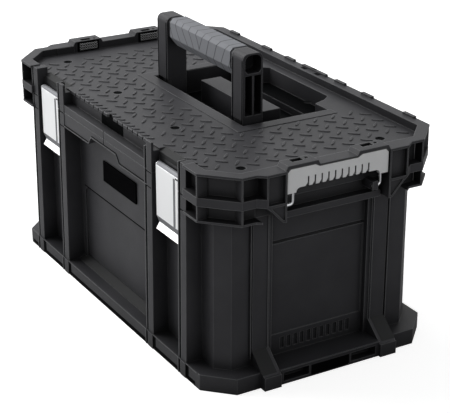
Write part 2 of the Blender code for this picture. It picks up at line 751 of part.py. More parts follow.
def build_tub():
    body, joined = tub_walls()
    join(body, *joined, *tub_flange())
    cut(body, *flange_cuts())
    reach_y = RIM_HALF_Y + OVERRUN
    panel_top = TUB_TOP + OVERRUN
    upper = box(
        "upper panel",
        (-INNER_RIB[1], INNER_RIB[1]),
        (UPPER_PANEL_OUT, reach_y),
        (BASE_TOP + OVERRUN, FLANGE_LOW - OVERRUN),
    )
    cut(body, repeated(upper, FRONT_AND_BACK))
    radius = BASE_TOP / 2
    lower_low = BASE_TOP + GAP
    corner = (LOWER_PANEL_HALF - radius, PANEL_LINE_Z - radius)
    rounded = [(LOWER_PANEL_HALF, lower_low), *arc(corner, radius, 0, 90)]
    lower = prism("lower panel", "Y", (LOWER_PANEL_OUT, reach_y), mirrored_outline(rounded))
    cut(body, repeated(lower, FRONT_AND_BACK))
    join(body, *tub_ribs(), front_lip())
    channel = box(
        "channel",
        (INNER_RIB[1], OUTER_RIB[0]),
        (-reach_y, -CHANNEL_BACK),
        (BASE_TOP, panel_top),
    )
    cut(body, repeated(channel, BOTH_ENDS))
    strike = box(
        "strike",
        (LATCH_X[0] + STRIKE_INSET, LATCH_X[1] - STRIKE_INSET),
        (-latch_waist_inner() + RUNNING_GAP, -CHANNEL_BACK + BITE),
        STRIKE_Z,
    )
    ledge = box("ledge", (CAVITY_HALF_X + BITE, LEDGE_OUT), (-LEDGE_HALF, LEDGE_HALF), LEDGE_Z)
    join(body, repeated(strike, BOTH_ENDS), repeated(ledge, BOTH_ENDS))
    cut(body, *end_panel_cuts(), *inside_cuts())
    span = [(-BODY_KNUCKLE / 2, BODY_KNUCKLE / 2)]
    arm_y = (TUB_BACK - BITE, HINGE_Y)
    arm_z = (HINGE_Z - KNUCKLE_RADIUS, HINGE_Z + KNUCKLE_RADIUS)
    join(body, hinge_arms("tub hinge arms", span, arm_y, arm_z), hinge_barrels("tub knuckles", span))
    cut(body, hinge_bores())
    slit = box(
        "front slit",
        (-SLIT_HALF, SLIT_HALF),
        (-reach_y, -FRONT_FACE + BITE),
        (STEP_LOW - GAP, panel_top),
    )
    cut(body, slit)
    return finish_piece("body_tub", body, black_plastic)


def end_panel_cuts():
    """The sunk panel in each end, its line, the slots at its foot and the pockets of the base."""
    out = BASE_END_OUT + OVERRUN
    panel = box(
        "end panel",
        (END_PANEL_OUT, out),
        (-END_PANEL_HALF, END_PANEL_HALF),
        (BASE_TOP, LEDGE_Z[0]),
    )
    line = box(
        "end panel line",
        (END_PANEL_OUT - END_LINE_DEPTH, END_PANEL_OUT + BITE),
        (-END_LINE_HALF, END_LINE_HALF),
        (SLOT_Z[1] + OVERRUN, END_LINE_Z),
    )
    slots = []
    for index in range(SLOTS):
        middle = (index - (SLOTS - 1) / 2) * SLOT_PITCH
        across = (middle - SLOT_WIDTH / 2, middle + SLOT_WIDTH / 2)
        slots.append(box("slot", (END_PANEL_OUT - SLOT_DEPTH, END_PANEL_OUT + BITE), across, SLOT_Z))
    slots = group("slots", slots)
    inner = BASE_END_OUT - BASE_POCKET_DEPTH
    pocket = box("base pocket", (inner, out), BASE_POCKET_Y, BASE_POCKET_Z)
    tools = [repeated(tool, BOTH_ENDS) for tool in (panel, line, slots)]
    return tools + [repeated(pocket, ALL_FOUR)]


def inside_cuts():
    """The space in the tub, with a bay behind each latch channel, and the hollow under its floor."""
    inside = prism(
        "inside",
        "Z",
        (FLOOR_TOP, TUB_TOP + OVERRUN),
        octagon(CAVITY_HALF_X, CAVITY_HALF_Y, CAVITY_CORNER, CAVITY_CORNER),
    )
    under = prism(
        "underside",
        "Z",
        (-OVERRUN, FLOOR_UNDER),
        octagon(BASE_HALF_X - BASE_RING, BASE_HALF_Y - BASE_RING, BASE_CORNER, BASE_CORNER),
    )
    bay = box(
        "bay behind ribs",
        (INNER_RIB[0] + WALL, OUTER_RIB[1] - WALL),
        (CAVITY_HALF_Y - BITE, CHANNEL_BACK - WALL),
        (FLOOR_TOP, TUB_TOP + OVERRUN),
    )
    return [inside, under, repeated(bay, ALL_FOUR)]


def latch_waist_inner():
    """How far the latch's waist stands from the middle of the box, on its inner face."""
    return LATCH_FACE - LATCH_WAIST_IN - LATCH_THICKNESS


def build_lid():
    lid = prism("lid outline", "Z", (PARTING, RIM_TOP), rim_outline())
    reach_x = END_OUT + OVERRUN
    reach_y = RIM_HALF_Y + OVERRUN
    outside = octagon(reach_x, reach_y, RIM_CORNER_X / 2, RIM_CORNER_Y / 2)
    pockets = prism(
        "rim pockets", "Z", (BELT_TOP, RIM_TOP - RIM_THICKNESS), outside, inset_rim(POCKET_DEPTH)
    )
    well = prism("plate well", "Z", (PLATE_TOP, RIM_TOP + OVERRUN), inset_rim(RIM_WIDTH))
    front = box(
        "front plane",
        (-OUTER_RIB[1], OUTER_RIB[1]),
        (-reach_y, -FRONT_FACE),
        (PARTING - OVERRUN, RIM_TOP + OVERRUN),
    )
    front_rim = box(
        "front rim",
        (-OUTER_RIB[1], OUTER_RIB[1]),
        (-reach_y, -LID_CAVITY_HALF_Y),
        (PLATE_TOP, RIM_TOP + OVERRUN),
    )
    front_pocket = box(
        "front pocket",
        (-INNER_RIB[1], INNER_RIB[1]),
        (-reach_y, -FRONT_POCKET_BACK),
        (BELT_TOP, PLATE_TOP),
    )
    cut(lid, pockets, well, front, front_rim, front_pocket)
    join(lid, *pocket_webs(BELT_TOP - GAP, RIM_TOP - GAP), *ears(), plate_edge(), *lid_ribs())
    cut(lid, *clip_recess(), *channel_cuts())
    cavity = prism(
        "lid cavity",
        "Z",
        (PARTING - OVERRUN, PLATE_UNDER),
        octagon(
            LID_CAVITY_HALF_X,
            LID_CAVITY_HALF_Y,
            RIM_CORNER_X * LID_CORNER_SHARE,
            RIM_CORNER_Y * LID_CORNER_SHARE,
        ),
    )
    cut(lid, cavity)
    join(lid, *pan_solids(), clip_lugs(), *lid_hinge_lugs(), *rim_bumps())
    cut(lid, *pan_cuts(), *small_lid_cuts())
    return finish_piece("lid_shell", lid, black_plastic, (0, HINGE_Y, HINGE_Z))


def ears():
    """The blocks beside each clip, with the gusset below that holds the clip's pivot."""
    outline = [
        (EAR_Y[0], EAR_FOOT_Z),
        EAR_TOE,
        EAR_HEEL,
        (EAR_Y[1], PARTING),
        (EAR_Y[1], RIM_TOP - GAP),
        (EAR_Y[0], RIM_TOP - GAP),
    ]
    ear = prism("ear", "X", (EAR_INNER, END_OUT), outline)
    arch = [
        (ARCH_Y[0] - ARCH_SLOPE, RIM_TOP - BITE),
        (ARCH_Y[0], ARCH_TOP),
        (ARCH_Y[1], ARCH_TOP),
        (ARCH_Y[1] + ARCH_SLOPE, RIM_TOP - BITE),
    ]
    arch_inner = RIM_HALF_X - RIM_WIDTH
    raised = prism("arch", "X", (arch_inner, SHELF_OUT), arch)
    return [repeated(ear, ALL_FOUR), repeated(raised, ALL_FOUR)]


def clip_recess():
    """The space that the clip lies in, under the shelf and its arches, and the ears' own pockets."""
    half = [
        (0, SHELF_LOW),
        (CLIP_MIDDLE_HALF, SHELF_LOW),
        (CLIP_SHOULDER_HALF, ARCH_UNDER),
        (EAR_Y[0] - ARCH_UNDER_EDGE, ARCH_UNDER),
        (EAR_Y[0], ARCH_UNDER_END_Z),
        (EAR_Y[0], PARTING - OVERRUN),
    ]
    outline = half[1:] + [(-u, v) for u, v in reversed(half[1:])]
    reach_x = END_OUT + OVERRUN
    space = prism("clip space", "X", (RECESS_WALL, reach_x), outline)
    shelf_edge = box(
        "shelf edge", (SHELF_OUT, reach_x), (-EAR_Y[0], EAR_Y[0]), (PARTING, ARCH_TOP + OVERRUN)
    )
    ear_pocket = box(
        "ear pocket",
        (END_OUT - EAR_POCKET_DEPTH, reach_x),
        (EAR_Y[0] + EAR_EDGE, EAR_Y[1] - EAR_EDGE),
        (PARTING + EAR_EDGE, RIM_TOP - RIM_THICKNESS),
    )
    gusset = [
        (EAR_Y[0] + EAR_EDGE, EAR_FOOT_Z + EAR_EDGE * 2),
        (EAR_TOE[0] - EAR_EDGE / 2, EAR_TOE[1] + EAR_EDGE),
        (EAR_HEEL[0] - EAR_EDGE, EAR_HEEL[1] + EAR_EDGE / 2),
        (EAR_HEEL[0], PARTING - EAR_EDGE / 2),
        (EAR_Y[0] + EAR_EDGE, PARTING - EAR_EDGE / 2),
    ]
    gusset_pocket = prism("gusset pocket", "X", (END_OUT - EAR_EDGE, reach_x), gusset)
    return [
        repeated(space, BOTH_ENDS),
        repeated(shelf_edge, BOTH_ENDS),
        repeated(ear_pocket, ALL_FOUR),
        repeated(gusset_pocket, ALL_FOUR),
    ]


def clip_lugs():
    """One lug on each end, beside the clip's far leg, that carries the wire's bent end."""
    low = WIRE_PIVOT_Z - LUG_HALF_HEIGHT
    lug = box("clip lug", (RECESS_WALL - BITE, CLIP_X[1]), LUG_Y, (low, PARTING + BITE))
    return repeated(lug, TURNED_PAIR)


def plate_edge():
    """The front edge of the plate, just proud of the pocket's back between the ribs."""
    return box(
        "plate edge",
        (-OUTER_RIB[1], OUTER_RIB[1]),
        (-PLATE_FRONT, -LID_CAVITY_HALF_Y + BITE),
        (PLATE_UNDER, PLATE_TOP),
    )


def lid_ribs():
    """The upright ribs of the lid. The inner ones stand above the plate only at their front."""
    back = -FRONT_POCKET_BACK + BITE
    outline = [
        (-RIB_FACE_TOP, PARTING),
        (back, PARTING),
        (back, PLATE_TOP - BITE),
        (-RIB_FACE_TOP + INNER_RIB_LIP, PLATE_TOP - BITE),
        (-RIB_FACE_TOP + INNER_RIB_LIP, RIB_TOP),
        (-RIB_FACE_TOP, RIB_TOP),
    ]
    inner = prism("inner rib", "X", INNER_RIB, outline)
    outer = box("outer rib", OUTER_RIB, (-RIB_FACE_TOP, back), (PARTING, RIB_TOP))
    return [repeated(inner, BOTH_ENDS), repeated(outer, BOTH_ENDS)]


def channel_cuts():
    """The latch channels, with the plate cut down in a slope to the top of the latch."""
    reach_y = RIM_HALF_Y + OVERRUN
    across = (INNER_RIB[1], OUTER_RIB[0])
    channel = box(
        "latch channel",
        across,
        (-reach_y, -LID_CHANNEL_BACK),
        (PARTING - OVERRUN, RIM_TOP + OVERRUN),
    )
    slope = [
        (-LID_CHANNEL_BACK + CHANNEL_SLOPE, PLATE_TOP + OVERRUN),
        (-LID_CHANNEL_BACK + CHANNEL_SLOPE, PLATE_TOP - GAP),
        (-LID_CHANNEL_BACK + GAP, PLATE_TOP - CHANNEL_SLOPE_DROP),
        (-reach_y, PLATE_TOP - CHANNEL_SLOPE_DROP),
        (-reach_y, PLATE_TOP + OVERRUN),
    ]
    sloped = prism("channel slope", "X", across, slope)
    return [repeated(channel, BOTH_ENDS), repeated(sloped, BOTH_ENDS)]


def pan_outline(grow):
    """The recess, grown by the thickness of its wall."""
    return (-PAN_HALF_X - grow, PAN_HALF_X + grow), (PAN_FRONT - grow, PAN_BACK + grow)


def finger_outline(grow):
    half = [
        (FINGER_HALF_WIDE + grow, PAN_BACK - BITE),
        (FINGER_HALF_WIDE + grow, PAN_BACK + GAP),
        (FINGER_HALF_MID + grow, FINGER_MID_Y + grow / 2),
        (FINGER_HALF_NARROW + grow / 2, FINGER_BACK + grow),
    ]
    return mirrored_outline(half)


def pan_solids():
    x, y = pan_outline(PAN_WALL)
    pan = box("pan", x, y, (PAN_FLOOR - PAN_WALL, PLATE_UNDER + BITE))
    finger = prism(
        "finger notch", "Z", (FINGER_FLOOR - PAN_WALL, PLATE_UNDER + BITE), finger_outline(PAN_WALL)
    )
    return [pan, finger]


def pan_cuts():
    x, y = pan_outline(0)
    top = RIM_TOP + OVERRUN
    step = RAISED_TOP
    front = box("pan front", x, (y[0], RAISED_Y[0]), (PAN_FLOOR, top))
    back = box("pan back", x, (RAISED_Y[1], y[1]), (PAN_FLOOR, top))
    across = (RAISED_Y[0] - BITE, RAISED_Y[1] + BITE)
    side = box("pan side", (RAISED_HALF_X, x[1]), across, (PAN_FLOOR, top))
    over = box(
        "over raised",
        (-RAISED_HALF_X - BITE, RAISED_HALF_X + BITE),
        (RAISED_Y[0] - BITE, RAISED_Y[1] + BITE),
        (step, top),
    )
    under = box(
        "under raised",
        (-RAISED_HALF_X + PAN_WALL, RAISED_HALF_X - PAN_WALL),
        (RAISED_Y[0] + PAN_WALL, RAISED_Y[1] - PAN_WALL),
        (PAN_FLOOR - PAN_WALL - OVERRUN, RAISED_TOP - PAN_WALL),
    )
    finger = prism("finger space", "Z", (FINGER_FLOOR, top), finger_outline(0))
    return [front, back, repeated(side, BOTH_ENDS), over, under, finger]


def lid_hinge_lugs():
    inner = BODY_KNUCKLE / 2 + RUNNING_GAP
    outer = KNUCKLE_LENGTH / 2
    spans = [(-outer, -inner), (inner, outer)]
    arm_y = (HINGE_Y - KNUCKLE_RADIUS, HINGE_Y + KNUCKLE_RADIUS)
    arms = hinge_arms("lid hinge arms", spans, arm_y, (HINGE_Z, PARTING + BITE))
    return [arms, hinge_barrels("lid knuckles", spans)]


def rim_bumps():
    """Low bumps on the rim over the hinges, and a wider one in the middle."""
    z = (RIM_TOP - RIM_THICKNESS, RIM_TOP + BUMP_HEIGHT)
    y = (RIM_HALF_Y - BUMP_DEPTH, RIM_HALF_Y - GAP)
    half = BUMP_LENGTH / 2
    sides = [box("bump", (place - half, place + half), y, z) for place in BUMP_PLACES]
    middle = box("middle bump", (-CENTRE_BUMP_HALF, CENTRE_BUMP_HALF), y, z)
    return [repeated(group("bumps", sides), BOTH_ENDS), middle]


def small_lid_cuts():
    """Windows, dimples, bores, the teeth of the plate's front edge and the slit below it."""
    reach_y = RIM_HALF_Y + OVERRUN
    roof = (ARCH_UNDER - BITE, ARCH_TOP + BITE)
    windows = []
    for name, x, side, shares in (
        ("front window", WINDOW_X, -1, FRONT_WINDOW_SHARES),
        ("back window", WINDOW_X, 1, BACK_WINDOW_SHARES),
        ("front peephole", PEEP_X, -1, FRONT_PEEP_SHARES),
        ("back peephole", PEEP_X, 1, BACK_PEEP_SHARES),
    ):
        along = sorted(side * EAR_Y[0] * share for share in shares)
        windows.append(box(name, x, along, roof))
    dimples = []
    for x in DIMPLE_X:
        along = (PLATE_TOP - DIMPLE_DEPTH, RIM_TOP)
        dimples.append(rod("dimple", "Z", along, (x, DIMPLE_Y), DIMPLE_RADIUS, DIMPLE_SIDES))
    along = (RIM_TOP - BITE, RIM_TOP + BITE)
    dot = rod("dot", "Z", along, (RIM_HALF_X - DOT_FROM_END, 0), DOT_RADIUS, DIMPLE_SIDES)
    notches = []
    for index in range(PLATE_NOTCHES):
        middle = (index - (PLATE_NOTCHES - 1) / 2) * PLATE_NOTCH_PITCH
        across = (middle - PLATE_NOTCH_WIDTH / 2, middle + PLATE_NOTCH_WIDTH / 2)
        depth = (-reach_y, -PLATE_FRONT + PLATE_NOTCH_DEPTH)
        notches.append(box("notch", across, depth, (PLATE_UNDER - BITE, PLATE_TOP + BITE)))
    centre = box(
        "centre notch",
        (-CENTRE_NOTCH_HALF, CENTRE_NOTCH_HALF),
        (-reach_y, -PLATE_FRONT + CENTRE_NOTCH_DEPTH),
        (PLATE_UNDER - BITE, PLATE_TOP + BITE),
    )
    slit = box(
        "lid slit",
        (-SLIT_HALF, SLIT_HALF),
        (-reach_y, -FRONT_FACE + BITE),
        (PARTING - OVERRUN, BELT_TOP + BITE),
    )
    pin = rod(
        "handle pin bore",
        "X",
        (PAN_HALF_X - OVERRUN, PAN_HALF_X + PAN_WALL + OVERRUN),
        (HANDLE_PIVOT_Y, HANDLE_PIVOT_Z),
        HANDLE_PIN_RADIUS + GAP,
    )
    ear_bore = rod(
        "ear bore",
        "Y",
        (-EAR_Y[0] - WIRE_IN_EAR - RUNNING_GAP, -EAR_Y[0] + BITE),
        (WIRE_X, WIRE_PIVOT_Z),
        WIRE_RADIUS + GAP,
    )
    lug_bore = rod(
        "lug bore",
        "Y",
        (LUG_Y[0] - BITE, LUG_Y[1] + BITE),
        (WIRE_X, WIRE_PIVOT_Z),
        WIRE_RADIUS + GAP,
    )
    return [
        repeated(group("windows", windows), BOTH_ENDS),
        repeated(group("dimples", dimples), ALL_FOUR),
        repeated(dot, BOTH_ENDS),
        group("notches", notches),
        centre,
        slit,
        repeated(pin, BOTH_ENDS),
        repeated(ear_bore, TURNED_PAIR),
        repeated(lug_bore, TURNED_PAIR),
        hinge_bores(),
        latch_bores(),
    ]


def build_badge():
    back = -UPPER_PANEL_OUT - GAP
    plate = box("badge", (-BADGE_HALF, BADGE_HALF), (back - BADGE_THICKNESS, back), BADGE_Z)
    return finish_piece("badge_plate", plate, badge_black)


def grip_section(inset):
    """The handle's section between its posts, as (y, z) points."""
    middle = GRIP_MIDDLE_Y
    half = GRIP_DEPTH / 2 - inset
    top = HANDLE_TOP - inset
    right = [
        (GRIP_LOW_HALF, GRIP_LOW + inset),
        (half, GRIP_SIDE_LOW),
        (half, top - GRIP_TOP_CHAMFER),
        (half - GRIP_TOP_CHAMFER, top),
    ]
    return [(middle + u, v) for u, v in right] + [(middle - u, v) for u, v in reversed(right)]


def core_section(grow):
    half = CORE_HALF_Y + grow
    y = (GRIP_MIDDLE_Y - half, GRIP_MIDDLE_Y + half)
    return y, (CORE_Z[0] - grow, CORE_Z[1] + grow)


def build_handle():
    half = (POST_Y[1] - POST_Y[0]) / 2
    top_corner = HANDLE_TOP - POST_TOP_RADIUS
    outline = [
        *arc((HANDLE_PIVOT_Y, HANDLE_PIVOT_Z), half, 180, 360, ARC_STEPS * 2),
        *arc((POST_Y[1] - POST_TOP_RADIUS, top_corner), POST_TOP_RADIUS, 0, 90),
        *arc((POST_Y[0] + POST_TOP_RADIUS, top_corner), POST_TOP_RADIUS, 90, 180),
    ]
    y, z = core_section(0)
    reach = POST_X[0] + BITE
    frame = box("handle core", (-reach, reach), y, z)
    posts = repeated(prism("post", "X", POST_X, outline), BOTH_ENDS)
    collar = prism("collar", "X", (GRIP_HALF, reach), grip_section(COLLAR_INSET))
    join(frame, posts, repeated(collar, BOTH_ENDS))
    cut(frame, *post_hollows())
    origin = (0, HANDLE_PIVOT_Y, HANDLE_PIVOT_Z)
    return finish_piece("handle_frame", frame, black_plastic, origin)


def post_hollows():
    """The pockets in the outer face of each post, its pin's bore and the notch in front of its foot."""
    reach = POST_X[1] + OVERRUN
    inner = POST_X[1] - POST_POCKET_DEPTH
    low_y = POST_Y[0] + POST_FRONT_WALL
    high_y = POST_Y[1] - POST_WALL
    radius = POST_TOP_RADIUS
    top = HANDLE_TOP - POST_WALL - radius
    window = [
        (low_y + radius / 2, POST_WINDOW_LOW),
        (high_y - radius / 2, POST_WINDOW_LOW),
        (high_y, POST_WINDOW_LOW + radius / 2),
        *arc((high_y - radius, top), radius, 0, 90),
        *arc((low_y + radius, top), radius, 90, 180),
        (low_y, POST_WINDOW_LOW + radius / 2),
    ]
    middle = (low_y + high_y) / 2
    tools = [prism("post window", "X", (inner, reach), window)]
    tools.append(
        group(
            "post slots",
            [
                box("slot", (inner, reach), (low_y, middle - POST_CENTRE_RIB / 2), POST_SLOT_Z),
                box("slot", (inner, reach), (middle + POST_CENTRE_RIB / 2, high_y), POST_SLOT_Z),
            ],
        )
    )
    bore_start = POST_X[1] - HANDLE_PIN_IN_POST - RUNNING_GAP
    centre = (HANDLE_PIVOT_Y, HANDLE_PIVOT_Z)
    tools.append(rod("post bore", "X", (bore_start, reach), centre, HANDLE_PIN_RADIUS + GAP))
    notch_y = (POST_Y[0] - OVERRUN, POST_Y[0] + POST_NOTCH_DEPTH)
    notch_z = (HANDLE_PIVOT_Z - POST_DEPTH / 2 - BITE, PLATE_TOP + POST_NOTCH_RISE)
    across = (POST_X[0] - OVERRUN / 4, POST_X[1] - POST_WALL)
    tools.append(box("post notch", across, notch_y, notch_z))
    return [repeated(tool, BOTH_ENDS) for tool in tools]


def build_grip():
    half = GRIP_HALF - GAP
    grip = prism("grip", "X", (-half, half), grip_section(0))
    y, z = core_section(GAP)
    cut(grip, box("grip bore", (-half - OVERRUN, half + OVERRUN), y, z))
    origin = (0, HANDLE_PIVOT_Y, HANDLE_PIVOT_Z)
    return finish_piece("handle_grip", grip, grey_rubber, origin)


def build_pins():
    handle_x = (POST_X[1] - HANDLE_PIN_IN_POST, PAN_HALF_X + PAN_WALL)
    latch_x = (INNER_RIB[1] - LATCH_PIN_GRIP, OUTER_RIB[0] + LATCH_PIN_GRIP)
    for side, name in ((1, "right"), (-1, "left")):
        along = sorted(side * value for value in handle_x)
        centre = (HANDLE_PIVOT_Y, HANDLE_PIVOT_Z)
        pin = rod("pin", "X", along, centre, HANDLE_PIN_RADIUS)
        finish_piece("handle_pin_" + name, pin, steel)
        along = sorted(side * value for value in latch_x)
        centre = (LATCH_PIVOT_Y, LATCH_PIVOT_Z)
        pin = rod("pin", "X", along, centre, LATCH_PIN_RADIUS)
        finish_piece("latch_pin_" + name, pin, steel)
    for number, place in enumerate(HINGE_PLACES, 1):
        along = (place - KNUCKLE_LENGTH / 2, place + KNUCKLE_LENGTH / 2)
        pin = rod("pin", "X", along, (HINGE_Y, HINGE_Z), HINGE_PIN_RADIUS)
        finish_piece("hinge_pin_" + str(number), pin, steel)


def latch_profile():
    """The pressed sheet from the side, as (y, z) points: straight, drawn in at the waist, then flared."""
    waist = LATCH_FACE - LATCH_WAIST_IN
    lip = LATCH_FACE + LATCH_LIP_OUT
    inner = LATCH_FACE - LATCH_THICKNESS
    return [
        (-LATCH_FACE, LATCH_PIVOT_Z),
        (-LATCH_FACE, LATCH_BEND_Z),
        (-waist, LATCH_WAIST_Z),
        (-lip, LATCH_LIP_Z),
        (-lip + LATCH_THICKNESS / 2, LATCH_LIP_Z - LATCH_THICKNESS / 2),
        (-latch_waist_inner(), LATCH_WAIST_Z),
        (-inner, LATCH_BEND_Z + LATCH_THICKNESS / 2),
        (-inner, LATCH_PIVOT_Z),
    ]


def latch_groove(along):
    """The upright groove pressed into the sheet, near its edge on the +X side."""
    middle = along[1] - LATCH_GROOVE_FROM_SIDE
    x = (middle - LATCH_GROOVE_WIDTH / 2, middle + LATCH_GROOVE_WIDTH / 2)
    y = (-LATCH_FACE - OVERRUN, -LATCH_FACE + LATCH_GROOVE_DEPTH)
    return box("latch groove", x, y, (LATCH_BEND_Z + BITE, LATCH_PIVOT_Z - LATCH_GROOVE_DROP))


def build_latches():
    for side, name in ((1, "right"), (-1, "left")):
        along = sorted(side * value for value in LATCH_X)
        centre = (LATCH_PIVOT_Y, LATCH_PIVOT_Z)
        plate = prism("latch sheet", "X", along, latch_profile())
        join(plate, rod("curl", "X", along, centre, CURL_RADIUS, CURL_SIDES))
        reach = (along[0] - OVERRUN, along[1] + OVERRUN)
        cut(plate, rod("curl bore", "X", reach, centre, LATCH_PIN_RADIUS + GAP), latch_groove(along))
        finish_piece("latch_plate_" + name, plate, zinc_steel, (0, LATCH_PIVOT_Y, LATCH_PIVOT_Z))


def clip_outline():
    """The clip from the end, as (y, z) points."""
    half = [
        (CLIP_MIDDLE_HALF, CLIP_MIDDLE_TOP),
        (CLIP_SHOULDER_HALF, CLIP_TOP),
        (CLIP_HALF - CLIP_CORNER, CLIP_TOP),
        (CLIP_HALF, CLIP_TOP - CLIP_CORNER),
        (CLIP_HALF, CLIP_LEG_LOW),
        (CLIP_LEG_INNER, CLIP_LEG_LOW),
        *arc((CLIP_LEG_INNER - CLIP_ARC, CLIP_LEG_LOW), CLIP_ARC, 30, 90),
    ]
    return half + [(-u, v) for u, v in reversed(half)]


def build_clips():
    for side, name in ((1, "right"), (-1, "left")):
        clip = prism("clip", "X", CLIP_X, clip_outline())
        slots = []
        for index in range(COMB_SLOTS):
            middle = (index - (COMB_SLOTS - 1) / 2) * 2 * COMB_HALF / COMB_SLOTS
            slots.append(comb_slot(middle))
        groove = wire_groove()
        turned = [(side, side)]
        if side < 0:
            clip = repeated(clip, turned)
        cut(clip, repeated(group("comb slots", slots), turned), repeated(groove, turned))
        origin = (side * WIRE_X, 0, WIRE_PIVOT_Z)
        finish_piece("side_clip_" + name, clip, grey_plastic, origin)
        build_wire(side, name, origin)


def comb_slot(middle):
    """One slot of the comb, with the corner that it cuts off the tooth beside it."""
    left = middle - COMB_SLOT_WIDTH / 2
    right = middle + COMB_SLOT_WIDTH / 2
    low = COMB_LOW - OVERRUN
    outline = [
        (right, low),
        (right, COMB_SLOT_TOP),
        (left, COMB_SLOT_TOP),
        (left, COMB_LOW + TOOTH_CORNER_RISE),
        (left - TOOTH_CORNER_RUN, COMB_LOW),
        (left - TOOTH_CORNER_RUN, low),
    ]
    return prism("comb slot", "X", (CLIP_X[0] - OVERRUN, CLIP_X[1] + OVERRUN), outline)


def wire_groove():
    """The groove in the back of the clip that the wire lies in."""
    deep = WIRE_X + WIRE_RADIUS + GAP
    wide = WIRE_RADIUS + GAP
    x = (CLIP_X[0] - OVERRUN, deep)
    outer = WIRE_LEG_Y + wide
    inner = WIRE_LEG_Y - wide
    low = CLIP_LEG_LOW - OVERRUN
    outline = [
        (outer, low),
        (outer, WIRE_TOP + wide),
        (-outer, WIRE_TOP + wide),
        (-outer, low),
        (-inner, low),
        (-inner, WIRE_TOP - WIRE_BEND),
        (-inner - wide + WIRE_BEND, WIRE_TOP - wide),
        (inner + wide - WIRE_BEND, WIRE_TOP - wide),
        (inner, WIRE_TOP - WIRE_BEND),
        (inner, low),
    ]
    return prism("wire groove", "X", x, outline)


def wire_route():
    """The wire's middle line, as (y, z) points, both ends bent the same way."""
    bend = WIRE_BEND
    low = WIRE_PIVOT_Z
    near_leg = -WIRE_LEG_Y
    points = [(-EAR_Y[0] - WIRE_IN_EAR, low)]
    points += arc((near_leg - bend, low + bend), bend, 270, 360)
    points += arc((near_leg + bend, WIRE_TOP - bend), bend, 180, 90)
    points += arc((WIRE_LEG_Y - bend, WIRE_TOP - bend), bend, 90, 0)
    points += arc((WIRE_LEG_Y - bend, low + bend), bend, 0, -90)
    points.append((LUG_Y[0] - BITE / 2, low))
    return points


def build_wire(side, name, origin):
    curve = bpy.data.curves.new("wire", "CURVE")
    curve.dimensions = "3D"
    curve.bevel_depth = WIRE_RADIUS
    curve.bevel_resolution = 2
    curve.use_fill_caps = True
    points = wire_route()
    spline = curve.splines.new("POLY")
    spline.points.add(len(points) - 1)
    for point, (y, z) in zip(spline.points, points):
        point.co = (side * WIRE_X - origin[0], side * y - origin[1], z - origin[2], 1)
    curve.materials.append(steel)
    wire = bpy.data.objects.new("side_wire_" + name, curve)
    wire.location = origin
    pieces.objects.link(wire)


clear_scene()
pieces = new_collection("toolbox")
helpers = new_collection("toolbox cutters", hidden=True)
black_plastic = plastic("black polypropylene", (0.022, 0.022, 0.023), 0.55)
badge_black = plastic("gloss black plastic", (0.008, 0.008, 0.008), 0.30)
grey_rubber = plastic("grey rubber", (0.27, 0.28, 0.30), 0.70)
grey_plastic = plastic("grey plastic", (0.30, 0.30, 0.31), 0.50)
zinc_steel = plastic("zinc plated steel", (0.80, 0.80, 0.82), 0.28, 1.0)
steel = plastic("steel wire", (0.62, 0.62, 0.64), 0.25, 1.0)
build_tub()
build_lid()
build_badge()
build_handle()
build_grip()
build_pins()
build_latches()
build_clips()
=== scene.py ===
# %% [markdown]
# A moulded toolbox, about 580 mm long. The real one is a black tub and lid of polypropylene, with a
# grey rubber grip, two bright steel latches and a grey clip on each end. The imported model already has
# every solid in its place, so this lesson gives those solids their finishes and adds the small forms
# that catch the light.

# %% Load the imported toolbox
import math

import bmesh
import bpy
from mathutils import Matrix, Vector


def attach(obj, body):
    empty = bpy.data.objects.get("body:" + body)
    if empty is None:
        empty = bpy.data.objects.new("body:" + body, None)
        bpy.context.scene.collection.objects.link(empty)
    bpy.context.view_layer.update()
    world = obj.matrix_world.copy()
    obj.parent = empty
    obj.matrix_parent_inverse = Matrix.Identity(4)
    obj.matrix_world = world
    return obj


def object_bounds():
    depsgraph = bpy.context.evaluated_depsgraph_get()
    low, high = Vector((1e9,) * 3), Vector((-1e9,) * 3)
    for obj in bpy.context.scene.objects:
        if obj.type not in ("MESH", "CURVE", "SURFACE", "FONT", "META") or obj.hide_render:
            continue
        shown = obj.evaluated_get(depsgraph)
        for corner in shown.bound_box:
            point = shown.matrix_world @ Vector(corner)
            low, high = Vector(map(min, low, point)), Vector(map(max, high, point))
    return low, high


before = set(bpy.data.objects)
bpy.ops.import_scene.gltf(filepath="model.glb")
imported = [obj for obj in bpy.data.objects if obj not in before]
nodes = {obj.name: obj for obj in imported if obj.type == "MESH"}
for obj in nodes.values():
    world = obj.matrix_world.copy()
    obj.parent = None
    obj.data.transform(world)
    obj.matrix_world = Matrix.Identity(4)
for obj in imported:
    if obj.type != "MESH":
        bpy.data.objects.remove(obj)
cad_box = [[float(value) for value in corner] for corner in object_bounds()]
MM = 0.001
print("pieces loaded:", len(nodes))

# %% [markdown]
# The camera stands to the front right of the box and a little above it, a long way off, so that upright
# edges stay nearly parallel. A camera in Blender looks along its own -Z, and to_track_quat turns that
# axis towards the point that it looks at.

